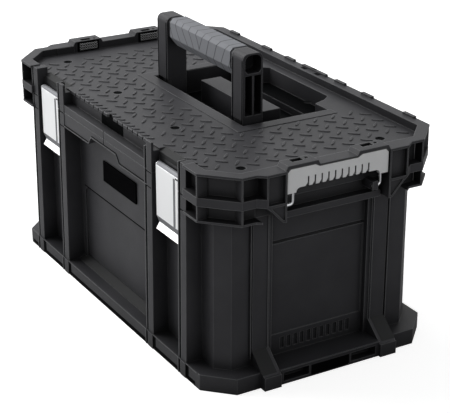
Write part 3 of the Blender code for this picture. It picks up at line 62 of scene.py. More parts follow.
# %% Camera
SENSOR_WIDTH_MM = 36
LENS_MM = 115.6
AIM = Vector((0.06185, -0.01685, 0.136))
AZIMUTH = math.radians(59.77)
ELEVATION = math.radians(22.88)
CAMERA_DISTANCE = 1.84596
camera_data = bpy.data.cameras.new("camera")
camera_data.sensor_width = SENSOR_WIDTH_MM
camera_data.lens = LENS_MM
camera = bpy.data.objects.new("camera", camera_data)
bpy.context.scene.collection.objects.link(camera)
towards_camera = Vector(
    (
        math.sin(AZIMUTH) * math.cos(ELEVATION),
        -math.cos(AZIMUTH) * math.cos(ELEVATION),
        math.sin(ELEVATION),
    )
)
camera.location = AIM + towards_camera * CAMERA_DISTANCE
camera.rotation_euler = towards_camera.to_track_quat("Z", "Y").to_euler()
bpy.context.scene.camera = camera
bpy.context.scene.view_settings.view_transform = "Standard"
print("camera distance:", round((camera.location - AIM).length, 3), "m")

# %% [markdown]
# Colours are written as sRGB hex values, the way a paint chart gives them, and one function turns them
# into the linear numbers that the renderer needs. A second small function adds a shader node, sets its
# values and links it, which keeps each finish to a few lines.

# %% Colour and shader helpers
def linear(code):
    """An sRGB hex value such as "#808080" as linear red, green, blue and alpha."""
    channels = [int(code[start : start + 2], 16) / 255 for start in (1, 3, 5)]
    spread = [c / 12.92 if c <= 0.04045 else ((c + 0.055) / 1.055) ** 2.4 for c in channels]
    return (*spread, 1)


def add(tree, kind, values=None, links=None, **settings):
    """A new node with its settings, its socket values and its links."""
    node = tree.nodes.new(kind)
    for name, value in settings.items():
        setattr(node, name, value)
    for name, value in (values or {}).items():
        node.inputs[name].default_value = value
    for name, source in (links or {}).items():
        tree.links.new(source, node.inputs[name])
    return node


def new_finish(name, colour, roughness, metallic=0.0):
    """A material with its node tree and its main shader."""
    material = bpy.data.materials.new(name)
    material.use_nodes = True
    material.diffuse_color = linear(colour)
    shader = material.node_tree.nodes["Principled BSDF"]
    shader.inputs["Base Color"].default_value = linear(colour)
    shader.inputs["Roughness"].default_value = roughness
    shader.inputs["Metallic"].default_value = metallic
    return material, material.node_tree, shader


print("middle grey in linear values:", [round(channel, 4) for channel in linear("#808080")])

# %% [markdown]
# The finishes work out many of their values from others. Five more functions each add one node that
# does so and give back its result, ready to be linked on.

# %% Helpers that work out a value
SKY_SAMPLES = 8


def arithmetic(tree, operation, *terms):
    """One step of arithmetic; each term is a number or the output of a node."""
    node = add(tree, "ShaderNodeMath", operation=operation)
    for term, socket in zip(terms, node.inputs):
        if isinstance(term, (int, float)):
            socket.default_value = term
        else:
            tree.links.new(term, socket)
    return node.outputs["Value"]


def in_range(tree, value, span=(0.0, 1.0), to=(0.0, 1.0)):
    """How far a value is through a span, carried over to another range."""
    ends = {"From Min": span[0], "From Max": span[1], "To Min": to[0], "To Max": to[1]}
    return add(tree, "ShaderNodeMapRange", ends, {"Value": value}).outputs["Result"]


def dimmed(tree, colour, factor):
    """A colour times a number."""
    links = {0: colour, "Scale": factor}
    return add(tree, "ShaderNodeVectorMath", None, links, operation="SCALE").outputs["Vector"]


def noise(tree, place, size_mm, detail):
    """A cloudy value between 0 and 1, with patches of about the given size."""
    values = {"Scale": 1 / (size_mm * MM), "Detail": detail}
    return add(tree, "ShaderNodeTexNoise", values, {"Vector": place}).outputs["Fac"]


def open_sky(tree, reach_mm):
    """How much of its surroundings within reach a point sees, from 0 to 1."""
    reach = {"Distance": reach_mm * MM}
    return add(tree, "ShaderNodeAmbientOcclusion", reach, samples=SKY_SAMPLES).outputs["AO"]


print("surroundings are felt with", SKY_SAMPLES, "samples")

# %% [markdown]
# Every outer edge of a moulding is rounded, and a paler colour painted along it stands for the
# highlight that the rounding catches. Painted shade darkens the inner corners. Both come from two
# nodes. Bevel bends the shading near an edge, so the angle between its result and the true face tells
# how near the edge is. Ambient Occlusion is low in an inner corner and high on an outer edge, which
# tells the two apart. A second Ambient Occlusion looks much farther round, and paints shade over the
# deep pockets between the ribs as a whole. Each pair of values below gives the two ends of the range
# over which an effect comes in.

# %% Painted highlights on edges and painted shade in corners
CORNER_MM = 6
POCKET_MM = 45
POCKET_DARKEST = 0.15
EDGE_BEND = (0.99, 0.80)
OUTER_SKY = (0.45, 0.75)
CORNER_SKY = (0.15, 0.60)
POCKET_SKY = (0.30, 0.90)


def edges_and_corners(tree, shade, rounded, edge_highlight, corner_shade):
    """The colour again, with a paler painted highlight on outer edges and painted shade in corners and
    pockets.
    """
    face = add(tree, "ShaderNodeNewGeometry")
    normals = {0: rounded.outputs["Normal"], 1: face.outputs["Normal"]}
    bend = add(tree, "ShaderNodeVectorMath", None, normals, operation="DOT_PRODUCT")
    near_edge = in_range(tree, bend.outputs["Value"], EDGE_BEND)
    near_sky = open_sky(tree, CORNER_MM)
    outer = in_range(tree, near_sky, OUTER_SKY)
    # Painted highlight: the paler colour goes on the outer edges.
    pale = add(
        tree,
        "ShaderNodeMix",
        {7: linear(edge_highlight)},
        {"Factor": arithmetic(tree, "MULTIPLY", near_edge, outer), 6: shade},
        data_type="RGBA",
    )
    # Painted shade: darker in inner corners, and over the deep pockets as a whole.
    corner = in_range(tree, near_sky, CORNER_SKY, (corner_shade, 1.0))
    pocket = in_range(tree, open_sky(tree, POCKET_MM), POCKET_SKY, (POCKET_DARKEST, 1.0))
    return dimmed(tree, dimmed(tree, pale.outputs[2], corner), pocket)


print("corners are felt for", CORNER_MM, "mm round and pockets for", POCKET_MM, "mm")

# %% [markdown]
# The tub, the lid and the handle's frame are polypropylene, injection moulded in a spark-eroded mould.
# That gives a fine even grain and a soft satin sheen, never a mirror. The real grain is about 0.3 mm,
# too fine to show in a picture this size, so it is drawn at about 1.2 mm. A faint cloud of lighter and
# darker patches, a few centimetres wide, keeps large faces from looking painted.

# %% Moulded plastic
GRAIN_MM = 1.2
GRAIN_DEPTH_MM = 0.1
GRAIN_DETAIL = 3.0
CLOUD_MM = 45
CLOUD_DETAIL = 2.0
CLOUD_SPAN = (0.35, 0.70)
EDGE_MM = 1.5
EDGE_SAMPLES = 8
ROUGHNESS_SPREAD = 0.07
PLASTIC_IOR = 1.49


def moulded_plastic(name, dark, light, roughness, grain, edge_highlight, corner_shade, specular=0.5):
    """Grained plastic with a paler painted highlight on outer edges and painted shade in inner corners,
    whose darkness the corner factor sets; specular sets the sheen.
    """
    material, tree, shader = new_finish(name, dark, roughness)
    place = add(tree, "ShaderNodeTexCoord")
    clouds = noise(tree, place.outputs["Object"], CLOUD_MM, CLOUD_DETAIL)
    shade = add(tree, "ShaderNodeValToRGB", None, {"Fac": clouds})
    for stop, position, colour in zip(shade.color_ramp.elements, CLOUD_SPAN, (dark, light)):
        stop.position = position
        stop.color = linear(colour)
    rounded = add(tree, "ShaderNodeBevel", {"Radius": EDGE_MM * MM}, samples=EDGE_SAMPLES)
    highlight_and_shade = edges_and_corners(tree, shade.outputs["Color"], rounded, edge_highlight, corner_shade)
    tree.links.new(highlight_and_shade, shader.inputs["Base Color"])
    pits = noise(tree, place.outputs["Object"], GRAIN_MM, GRAIN_DETAIL)
    sheen = in_range(tree, pits, to=(roughness - ROUGHNESS_SPREAD, roughness + ROUGHNESS_SPREAD))
    tree.links.new(sheen, shader.inputs["Roughness"])
    relief = add(
        tree,
        "ShaderNodeBump",
        {"Strength": grain, "Distance": GRAIN_DEPTH_MM * MM},
        {"Height": pits, "Normal": rounded.outputs["Normal"]},
    )
    tree.links.new(relief.outputs["Normal"], shader.inputs["Normal"])
    shader.inputs["IOR"].default_value = PLASTIC_IOR
    shader.inputs["Specular IOR Level"].default_value = specular
    return material


print("the grain is drawn at", GRAIN_MM, "mm and edges are rounded by", EDGE_MM, "mm")

# %% [markdown]
# Five plastics come out of that one recipe. The black of the shell is matt, so it keeps less than half
# of the usual sheen. The clips are the same plastic in a pale grey. The badge plate is bare ABS in deep
# black. Each one has a paler colour for its painted edge highlight and a factor for how dark its painted
# shade in inner corners goes. Two more blacks paint shade on the forms added later: a deep one in
# grooves, gaps, holes and pockets, which also draws the dark joint lines, and a softer one for slopes
# that lie in the shade.

# %% The five plastics
black_shell = moulded_plastic(
    "moulded polypropylene, black",
    "#353538",
    "#3c3c3f",
    roughness=0.48,
    grain=0.35,
    edge_highlight="#77787a",
    corner_shade=0.30,
    specular=0.22,
)
grey_clip = moulded_plastic(
    "moulded polypropylene, grey",
    "#ecedee",
    "#f2f2f3",
    roughness=0.42,
    grain=0.25,
    edge_highlight="#dededf",
    corner_shade=0.5,
)
badge_plate = moulded_plastic(
    "moulded ABS, black",
    "#030304",
    "#050506",
    roughness=0.8,
    grain=0.05,
    edge_highlight="#1a1a1b",
    corner_shade=0.6,
    specular=0.01,
)
# The deep black paints shade in grooves, gaps, holes and pockets, and draws dark joint lines.
shade_and_joint_black = moulded_plastic(
    "deep black for painted shade and joint lines",
    "#08090a",
    "#0b0c0d",
    roughness=0.5,
    grain=0.2,
    edge_highlight="#141415",
    corner_shade=0.5,
    specular=0.01,
)
shade_black = moulded_plastic(
    "moulded polypropylene, shaded black",
    "#0e0f10",
    "#131415",
    roughness=0.62,
    grain=0.3,
    edge_highlight="#2a2a2b",
    corner_shade=0.4,
    specular=0.25,
)
plastics = (black_shell, grey_clip, badge_plate, shade_and_joint_black, shade_black)
print("plastics:", [plastic.name for plastic in plastics])

# %% [markdown]
# The latches are pressed from steel sheet and plated with bright zinc. Zinc plate is a pale metal with
# a slight frost and faint lines along the way that the sheet was rolled, so the noise is drawn out
# along Z. The wires and pins are drawn steel with a bright finish, smoother than the sheet.

# %% Zinc plate and drawn steel
ROLL_LINE_MM = 1.5
ROLL_SCALE = (1, 1, 0.04)
ROLL_DETAIL = 2.0


def bright_metal(name, colour, roughness, frost):
    """Rolled or drawn metal; frost is how far its roughness strays either way."""
    material, tree, shader = new_finish(name, colour, roughness, 1.0)
    place = add(tree, "ShaderNodeTexCoord")
    stretch = add(tree, "ShaderNodeMapping", {"Scale": ROLL_SCALE}, {"Vector": place.outputs["Object"]})
    lines = noise(tree, stretch.outputs["Vector"], ROLL_LINE_MM, ROLL_DETAIL)
    frosted = in_range(tree, lines, to=(roughness - frost, roughness + frost))
    tree.links.new(frosted, shader.inputs["Roughness"])
    return material


zinc_plate = bright_metal("rolled steel, zinc plated", "#f6f7f8", roughness=0.34, frost=0.06)
drawn_steel = bright_metal("drawn steel wire, bright", "#cfd0d3", roughness=0.20, frost=0.05)
print("metals:", zinc_plate.name, "|", drawn_steel.name)

# %% [markdown]
# The grip is a soft thermoplastic rubber, moulded over the bar. Rubber is matt, and thin dark contour
# lines run round it, about 18 mm apart, like height lines on a map. They lean towards the middle of the
# grip on their way down. One value gives them all: the distance from the middle plus a share of the
# height and a little noise. Wherever that value passes a whole number of steps, the colour darkens and
# the surface dips. Each line is fully dark to half a millimetre from its middle and gone at one.

# %% Thermoplastic rubber
CONTOUR_MM = 18
LINE_CORE_MM = 0.455
LINE_EDGE_MM = 1.04
LINE_DIP_MM = 0.4
DIP_STRENGTH = 0.5
BEND_MM = 40
BEND_DETAIL = 0.0
WANDER_MM = 16
LEAN_SHARE = -0.5
GRIP_EDGE_MM = 1.2
GRIP_EDGE_SAMPLES = 6
GRIP_TOP = cad_box[1][2]
RUBBER_ROUGHNESS = 0.72
RUBBER_GREY = "#7d7f84"
LINE_GREY = "#45474b"


def contoured_rubber():
    """Matt grey rubber with dark contour lines that dip a little."""
    material, tree, shader = new_finish("thermoplastic rubber, grey", RUBBER_GREY, RUBBER_ROUGHNESS)
    place = add(tree, "ShaderNodeTexCoord")
    parts = add(tree, "ShaderNodeSeparateXYZ", None, {"Vector": place.outputs["Object"]})
    bend = noise(tree, place.outputs["Object"], BEND_MM, BEND_DETAIL)
    from_middle = arithmetic(tree, "ABSOLUTE", parts.outputs["X"])
    from_top = arithmetic(tree, "SUBTRACT", parts.outputs["Z"], GRIP_TOP)
    leaning = arithmetic(tree, "MULTIPLY_ADD", from_top, LEAN_SHARE, from_middle)
    wandering = arithmetic(tree, "MULTIPLY_ADD", bend, WANDER_MM * MM, leaning)
    near_line = arithmetic(tree, "PINGPONG", wandering, CONTOUR_MM / 2 * MM)
    line = in_range(tree, near_line, (LINE_CORE_MM * MM, LINE_EDGE_MM * MM))
    shade = add(
        tree,
        "ShaderNodeMix",
        {6: linear(LINE_GREY), 7: linear(RUBBER_GREY)},
        {"Factor": line},
        data_type="RGBA",
    )
    tree.links.new(shade.outputs[2], shader.inputs["Base Color"])
    rounded = add(
        tree, "ShaderNodeBevel", {"Radius": GRIP_EDGE_MM * MM}, samples=GRIP_EDGE_SAMPLES
    )
    dip = add(
        tree,
        "ShaderNodeBump",
        {"Strength": DIP_STRENGTH, "Distance": LINE_DIP_MM * MM},
        {"Height": line, "Normal": rounded.outputs["Normal"]},
    )
    tree.links.new(dip.outputs["Normal"], shader.inputs["Normal"])
    return material


grip_rubber = contoured_rubber()
print("rubber:", grip_rubber.name)

# %% [markdown]
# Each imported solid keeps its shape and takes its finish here. The names say what each one is, so one
# table from the start of a name to a finish covers them all.

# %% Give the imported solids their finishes
FINISHES = {
    "body_tub": black_shell,
    "lid_shell": black_shell,
    "handle_frame": black_shell,
    "badge_plate": badge_plate,
    "handle_grip": grip_rubber,
    "latch_plate": zinc_plate,
    "side_clip": grey_clip,
    "side_wire": drawn_steel,
    "handle_pin": drawn_steel,
    "latch_pin": drawn_steel,
    "hinge_pin": drawn_steel,
}
for name, piece in nodes.items():
    finish = next(value for start, value in FINISHES.items() if name.startswith(start))
    piece.data.materials.clear()
    piece.data.materials.append(finish)
print("finished solids:", len(nodes))

# %% [markdown]
# The small forms that catch the light are added as meshes of their own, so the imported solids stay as
# they are. Most of them are a ring of points carried from one place to another, with a face over each
# end. One function joins rings, and three short ones make the shapes that are used most: a flat slab, a
# strip along X, and a block. Places are in metres from the middle of the box's underside, with the
# front towards -Y, and MM turns millimetres into metres. A last function finds the box round a packed
# solid, so that a small form can take its place from the solid that carries it.

# %% Helpers for the small forms
def join_rings(made, rings, first_end=True, last_end=True):
    """Faces between neighbouring rings of points, and over the first and the last one."""
    for here, there in zip(rings, rings[1:]):
        for index in range(len(here)):
            after = (index + 1) % len(here)
            made.faces.new((here[index], here[after], there[after], there[index]))
    if first_end:
        made.faces.new(list(reversed(rings[0])))
    if last_end:
        made.faces.new(rings[-1])


def add_slab(made, outline, low, high):
    """A flat shape between two heights; the outline is a list of (x, y) points."""
    join_rings(made, [[made.verts.new((x, y, z)) for x, y in outline] for z in (low, high)])


def add_strip(made, outline, left, right):
    """A shape carried from left to right; the outline is a list of (y, z) points."""
    join_rings(made, [[made.verts.new((x, y, z)) for y, z in outline] for x in (left, right)])


def add_block(made, x, y, z):
    """A block between two values along each axis."""
    add_slab(made, [(x[0], y[0]), (x[0], y[1]), (x[1], y[1]), (x[1], y[0])], *z)


def new_piece(name, made, finish, body, closed=True):
    """The mesh as an object that rides on a body; closed shapes get their faces turned outward."""
    if closed:
        bmesh.ops.recalc_face_normals(made, faces=made.faces)
    mesh = bpy.data.meshes.new(name)
    made.to_mesh(mesh)
    made.free()
    mesh.materials.append(finish)
    piece = bpy.data.objects.new(name, mesh)
    bpy.context.scene.collection.objects.link(piece)
    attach(piece, body)
    print("made", name, "with", len(mesh.polygons), "faces")


def box_of(name):
    """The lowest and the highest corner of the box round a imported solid."""
    solid = nodes[name]
    corners = [solid.matrix_world @ Vector(corner) for corner in solid.bound_box]
    low = Vector([min(values) for values in zip(*corners)])
    high = Vector([max(values) for values in zip(*corners)])
    return low, high


bpy.context.view_layer.update()
print("top of the handle:", round(box_of("handle_frame")[1].z, 4), "m")

# %% [markdown]
# The lid's top is a tread plate: short raised bars, each pointed like a lens, in two slanting
# directions that take turns. They are moulded with the lid. Each bar is a low lens with sloping sides,
# a wide ring of points at its foot and a smaller one at its top, and two loops set the bars out in
# rows. In the left half of the plate the pattern is half a row further on.

# %% One raised bar of the tread plate
PLATE_TOP = 0.262
BAR_LENGTH = 16 * MM
BAR_WIDTH = 4.6 * MM
BAR_HEIGHT = 1.1 * MM
BAR_SUNK = 0.2 * MM
BAR_POINTS = 12
BAR_FOOT_SHARES = (1.0, 1.0)
BAR_TOP_SHARES = (0.94, 0.72)
LENS_POWER = 0.4
SLANT = math.radians(45)


def add_bar(made, x, y, turn, length=BAR_LENGTH):
    """One raised bar; the shares say how long and how wide each of its rings is."""
    rings = []
    for shares, height in ((BAR_FOOT_SHARES, -BAR_SUNK), (BAR_TOP_SHARES, BAR_HEIGHT)):
        ring = []
        for step in range(BAR_POINTS):
            angle = math.tau * step / BAR_POINTS
            along = math.cos(angle) * length / 2 * shares[0]
            bulge = math.sin(angle) * abs(math.sin(angle)) ** LENS_POWER
            across = bulge * BAR_WIDTH / 2 * shares[1]
            place = Matrix.Rotation(turn, 3, "Z") @ Vector((along, across, 0))
            ring.append(made.verts.new((x + place.x, y + place.y, PLATE_TOP + height)))
        rings.append(ring)
    join_rings(made, rings, first_end=False)


print("one bar is", BAR_LENGTH / MM, "mm long and", BAR_HEIGHT / MM, "mm high")

# %% [markdown]
# A bar is left out where it would run into something else: the recess and its border, the channels of
# the latches, the round dimples and the edges of the plate. Along the front edge stands a row of
# shorter bars that all slant the same way.

# %% The tread plate's rows of bars
PITCH_X = 25.6 * MM
PITCH_Y = 26.2 * MM
COLUMNS = 10
ROWS = 6
HALF_ROW_JUMP_X = 0.006
BARS_HALF_X = 0.236
BARS_BACK = 0.138
BARS_FRONT = -0.133
SHORT_ROW_HALF_X = 0.108
BARS_FRONT_AT_SHORT_ROW = -0.129
BORDER_ROOM_HALF_X = 0.137
BORDER_ROOM_FRONT = -0.041
DIMPLE_XS = (0.078, 0.233)
DIMPLE_Y = 0.096
DIMPLE_ROOM = 12 * MM
SHORT_BARS = 16
SHORT_BAR_LENGTH = 11 * MM
SHORT_ROW_Y = -0.1392


def on_plate(x, y):
    """Whether a bar fits here."""
    front = BARS_FRONT_AT_SHORT_ROW if abs(x) < SHORT_ROW_HALF_X else BARS_FRONT
    if abs(x) > BARS_HALF_X or y < front or y > BARS_BACK:
        return False
    if abs(x) < BORDER_ROOM_HALF_X and y > BORDER_ROOM_FRONT:
        return False
    return all(math.hypot(abs(x) - dimple_x, abs(y) - DIMPLE_Y) > DIMPLE_ROOM for dimple_x in DIMPLE_XS)


made = bmesh.new()
for column in range(-COLUMNS, COLUMNS + 1):
    for row in range(-ROWS, ROWS + 1):
        for turn, half in ((SLANT, 0), (-SLANT, 0.5)):
            x = (column + half) * PITCH_X
            shifted = half if x > HALF_ROW_JUMP_X else 0.5 - half
            y = (row + shifted) * PITCH_Y
            if on_plate(x, y):
                add_bar(made, x, y, turn)
for place in range(SHORT_BARS):
    x = (place - (SHORT_BARS - 1) / 2) * PITCH_X / 2
    add_bar(made, x, SHORT_ROW_Y, SLANT, SHORT_BAR_LENGTH)
new_piece("tread_bars", made, black_shell, "lid")

# %% [markdown]
# A smooth raised border runs round the handle's recess and keeps the bars off it. It is one flat sheet,
# 0.6 mm high, so a U-shaped outline pushed up by its height makes it. Each round dimple of the plate
# gets a shallow dish of the deep black, which paints the shade in the dimple.

# %% Border of the recess and the dimples' dishes
BORDER_HALF_X = 0.132
BORDER_FRONT = -0.039
BORDER_BACK = 0.104
BORDER_INNER_HALF_X = 0.116
BORDER_INNER_FRONT = -0.0232
BORDER_SUNK = 0.2 * MM
BORDER_HEIGHT = 0.6 * MM
border = [
    (-BORDER_HALF_X, BORDER_FRONT),
    (BORDER_HALF_X, BORDER_FRONT),
    (BORDER_HALF_X, BORDER_BACK),
    (BORDER_INNER_HALF_X, BORDER_BACK),
    (BORDER_INNER_HALF_X, BORDER_INNER_FRONT),
    (-BORDER_INNER_HALF_X, BORDER_INNER_FRONT),
    (-BORDER_INNER_HALF_X, BORDER_BACK),
    (-BORDER_HALF_X, BORDER_BACK),
]
made = bmesh.new()
add_slab(made, border, PLATE_TOP - BORDER_SUNK, PLATE_TOP + BORDER_HEIGHT)
new_piece("recess_border", made, black_shell, "lid")

DISH_POINTS = 24
DISH_RADII_AND_DEPTHS = ((5.7 * MM, 0.25 * MM), (4.6 * MM, 0.75 * MM), (2.5 * MM, 1.0 * MM))


def add_dish(made, x, y):
    """A shallow round dish below the top of the plate."""
    rings = []
    for radius, depth in DISH_RADII_AND_DEPTHS:
        ring = []
        for step in range(DISH_POINTS):
            angle = math.tau * step / DISH_POINTS
            right = math.cos(angle) * radius
            back = math.sin(angle) * radius
            ring.append(made.verts.new((x + right, y + back, PLATE_TOP - depth)))
        rings.append(ring)
    join_rings(made, rings, first_end=False)


made = bmesh.new()
for x in DIMPLE_XS:
    for side in (-1, 1):
        add_dish(made, -x, side * DIMPLE_Y)
        add_dish(made, x, side * DIMPLE_Y)
new_piece("dimple_dishes", made, shade_and_joint_black, "lid", closed=False)

# %% [markdown]
# Beside each upright rib of the front stands a thin fin, which leaves a narrow groove between the
# two. The fins are part of the same mouldings, one set on the tub and one on the lid. The groove's
# bottom is a strip of the deep black just behind the rib's face, which paints the shade in the groove,
# and a short dark line crosses each rib where the tub's top flange ends and where the lid begins. The
# rib's face leans a little, so a function gives its place at each height.

# %% Fins and grooves beside the ribs of the tub
RIB_LEFTS = (-0.213, -0.1297, 0.1174, 0.2007)
RIB_WIDTH = 12.3 * MM
RIB_FRONT = -0.156
RIB_LEAN_BELOW = 0.248
RIB_LEAN_SHARE = 0.0083
FIN_SPAN = (-6.6 * MM, -4.2 * MM)
FIN_SET_BACK = 0.1 * MM
GROOVE_SPAN = (-4.3 * MM, 0.2 * MM)
GROOVE_SET_BACK = 0.35 * MM
TUB_WALLS = (-0.131, -0.136, -0.131, -0.136)
TUB_FIN_HEIGHTS = (0.0200, 0.2325)
TUB_GROOVE_HEIGHTS = ((0.0200, 0.2118), (0.2145, 0.2312))
CROSS_LINE_SPAN = (-3.6 * MM, RIB_WIDTH - 1.6 * MM)
CROSS_LINE_LOWS = (0.2125, 0.2314)
CROSS_LINE_HEIGHT = 1.1 * MM
CROSS_LINE_BACK = -0.150
CROSS_LINE_PROUD = 0.15 * MM


def rib_front(z):
    """The rib's face leans forward a little toward the base."""
    return RIB_FRONT - max(0.0, RIB_LEAN_BELOW - z) * RIB_LEAN_SHARE


def add_upright(made, rib, span, back, heights, behind):
    """An upright strip beside a rib, whose front lies the given distance behind the rib's face."""
    rings = []
    for z in heights:
        front = rib_front(z) + behind
        left, right = rib + span[0], rib + span[1]
        places = ((left, back), (left, front), (right, front), (right, back))
        rings.append([made.verts.new((x, y, z)) for x, y in places])
    join_rings(made, rings)


fins = bmesh.new()
grooves = bmesh.new()
for rib, wall in zip(RIB_LEFTS, TUB_WALLS):
    add_upright(fins, rib, FIN_SPAN, wall, TUB_FIN_HEIGHTS, FIN_SET_BACK)
    for heights in TUB_GROOVE_HEIGHTS:
        add_upright(grooves, rib, GROOVE_SPAN, wall, heights, GROOVE_SET_BACK)
    for low in CROSS_LINE_LOWS:
        heights = (low, low + CROSS_LINE_HEIGHT)
        add_upright(grooves, rib, CROSS_LINE_SPAN, CROSS_LINE_BACK, heights, -CROSS_LINE_PROUD)
new_piece("rib_fins_tub", fins, black_shell, "tub")
new_piece("rib_grooves_tub", grooves, shade_and_joint_black, "tub")

# %% [markdown]
# The lid carries the ribs on upward. Its fins and grooves start just above the joint between tub and
# lid and end near the top of the rim. Only the third fin ends lower, at the height of the plate.

# %% Fins and grooves beside the ribs of the lid
LID_WALL = -0.1475
LID_FIN_LOW = 0.2334
LID_FIN_TOPS = (0.2695, 0.2695, 0.2615, 0.2695)
LID_GROOVE_LOW = 0.2352
LID_GROOVE_BELOW_TOP = 0.4 * MM
fins = bmesh.new()
grooves = bmesh.new()
for rib, top in zip(RIB_LEFTS, LID_FIN_TOPS):
    add_upright(fins, rib, FIN_SPAN, LID_WALL, (LID_FIN_LOW, top), FIN_SET_BACK)
    heights = (LID_GROOVE_LOW, top - LID_GROOVE_BELOW_TOP)
    add_upright(grooves, rib, GROOVE_SPAN, LID_WALL, heights, GROOVE_SET_BACK)
new_piece("rib_fins_lid", fins, black_shell, "lid")
new_piece("rib_grooves_lid", grooves, shade_and_joint_black, "lid")

# %% [markdown]
# The ribs and fins carry on over the front of the base flange as low blocks, with a gap on each side,
# where a strip of the deep black paints the shade. A fine bead runs along the flange's upper edge from
# rib to rib. The flange's lower edge is rounded under, and a strip of the deep black there paints its
# shade. All of these are slabs, so one short function makes each from its two sides and how far it
# stands out.

# %% Front of the base flange
FLANGE_BACK = -0.1575
BLOCK_FRONT = -0.1594
GAP_FRONT = -0.1583
GAP_WIDTH = 5.6 * MM
LOWER_EDGE_SHORT = 6 * MM
BEAD_BACK = -0.1570
BEAD_FRONT = -0.1590
LOWER_EDGE_FRONT = -0.1582
FLANGE_HALF = 0.2400
BLOCK_HEIGHTS = (0.0008, 0.0204)
GAP_HEIGHTS = (0.0012, 0.0195)
BEAD_HEIGHTS = (0.0197, 0.0207)
LOWER_EDGE_HEIGHTS = (0.0006, 0.0062)


def add_front_slab(made, left, right, back, front, heights):
    """A slab that stands out from the front of the box, from back to front."""
    add_slab(made, [(left, back), (left, front), (right, front), (right, back)], *heights)


blocks = bmesh.new()
gaps = bmesh.new()
for rib in RIB_LEFTS:
    rib_right = rib + RIB_WIDTH
    fin_left, fin_right = rib + FIN_SPAN[0], rib + FIN_SPAN[1]
    add_front_slab(blocks, rib, rib_right, FLANGE_BACK, BLOCK_FRONT, BLOCK_HEIGHTS)
    add_front_slab(blocks, fin_left, fin_right, FLANGE_BACK, BLOCK_FRONT, BLOCK_HEIGHTS)
    add_front_slab(gaps, rib_right, rib_right + GAP_WIDTH, FLANGE_BACK, GAP_FRONT, GAP_HEIGHTS)
    add_front_slab(gaps, fin_right, rib, FLANGE_BACK, GAP_FRONT, GAP_HEIGHTS)

bead_lefts = [-FLANGE_HALF] + [rib + RIB_WIDTH for rib in RIB_LEFTS]
bead_rights = [*RIB_LEFTS, FLANGE_HALF]
for left, right in zip(bead_lefts, bead_rights):
    add_front_slab(blocks, left, right, BEAD_BACK, BEAD_FRONT, BEAD_HEIGHTS)
    gap = 0 if left == -FLANGE_HALF else GAP_WIDTH
    edge = (left + gap, right - LOWER_EDGE_SHORT)
    add_front_slab(gaps, *edge, FLANGE_BACK, LOWER_EDGE_FRONT, LOWER_EDGE_HEIGHTS)
new_piece("base_blocks", blocks, black_shell, "tub")
new_piece("base_gaps", gaps, shade_and_joint_black, "tub")

# %% [markdown]
# The lower edge of the tub's front lip carries a thin bead, stepped up in the middle as the lip is. A
# ring of four points, set down at each corner of the lip's edge, gives the bead its height and depth. A
# thin dark line runs just above it in the same way, and its two ends stay open, because they lie
# against the ribs.

# %% Bead and line of the front lip
LIP_EDGE = (
    (-0.1172, 0.2135),
    (-0.044, 0.2135),
    (-0.035, 0.2240),
    (0.035, 0.2240),
    (0.044, 0.2135),
    (0.1172, 0.2135),
)
LIP_BEAD_Y = (-0.1543, -0.1564)
LIP_BEAD_UP = (0, 1.3 * MM)
LIP_LINE_Y = (-0.1550, -0.1555)
LIP_LINE_UP = (1.5 * MM, 2.5 * MM)


def lip_rings(made, ys, ups):
    """A ring of four points at each corner of the lip's edge."""
    corners = ((ys[0], ups[0]), (ys[1], ups[0]), (ys[1], ups[1]), (ys[0], ups[1]))
    return [[made.verts.new((x, y, z + up)) for y, up in corners] for x, z in LIP_EDGE]


made = bmesh.new()
join_rings(made, lip_rings(made, LIP_BEAD_Y, LIP_BEAD_UP))
new_piece("lip_bead", made, black_shell, "tub")

# %% [markdown]
# Lower down, a dark shadow line crosses the front panel where its upper half stands a little prouder.
# It is two slabs, one on the lower edge of the upper half and one on the lower half right under it. The
# line of the lip belongs to the same piece. The sloping sill at the foot of the panel lies in the shade
# and gets a darker sheet.

# %% Lines and sill of the front panel
PANEL_EDGE_HALF = 0.108
PANEL_EDGE_Y = (-0.1335, -0.1343)
PANEL_EDGE_HEIGHTS = (0.1300, 0.1312)
PANEL_SHADOW_HALF = 0.1085
PANEL_SHADOW_Y = (-0.1310, -0.1318)
PANEL_SHADOW_HEIGHTS = (0.1272, 0.1300)
SILL_ENDS = (-0.1165, 0.1132)
SILL_OUTLINE = ((-0.1426, 0.02115), (-0.1318, 0.02815), (-0.1318, 0.02760), (-0.1426, 0.02060))
made = bmesh.new()
add_front_slab(made, -PANEL_EDGE_HALF, PANEL_EDGE_HALF, *PANEL_EDGE_Y, PANEL_EDGE_HEIGHTS)
add_front_slab(made, -PANEL_SHADOW_HALF, PANEL_SHADOW_HALF, *PANEL_SHADOW_Y, PANEL_SHADOW_HEIGHTS)
join_rings(made, lip_rings(made, LIP_LINE_Y, LIP_LINE_UP), first_end=False, last_end=False)
new_piece("panel_line", made, shade_and_joint_black, "tub")

made = bmesh.new()
add_strip(made, SILL_OUTLINE, *SILL_ENDS)
new_piece("panel_sill", made, shade_black, "tub")

# %% [markdown]
# The pocket above the lip has a deeper middle, where a sheet of the deep black paints the shade. Above
# each latch the plate's front slopes down, and a darker sheet covers the slope, because it lies in the
# shade of the rim.

# %% Middle of the front pocket and slopes above the latches
POCKET_HALF = 0.030
POCKET_Y = (-0.1420, -0.1428)
POCKET_HEIGHTS = (0.2436, 0.2600)
LATCH_BAY = (0.1300, 0.2004)
HOOD_OUTLINE = (
    (-0.1350, 0.26225),
    (-0.1452, 0.25855),
    (-0.1456, 0.2530),
    (-0.1446, 0.2530),
    (-0.1440, 0.2580),
    (-0.1350, 0.2612),
)
made = bmesh.new()
add_front_slab(made, -POCKET_HALF, POCKET_HALF, *POCKET_Y, POCKET_HEIGHTS)
new_piece("pocket_middle", made, shade_and_joint_black, "lid")

made = bmesh.new()
for side in (-1, 1):
    add_strip(made, HOOD_OUTLINE, side * LATCH_BAY[0], side * LATCH_BAY[1])
new_piece("latch_hoods", made, shade_black, "lid")
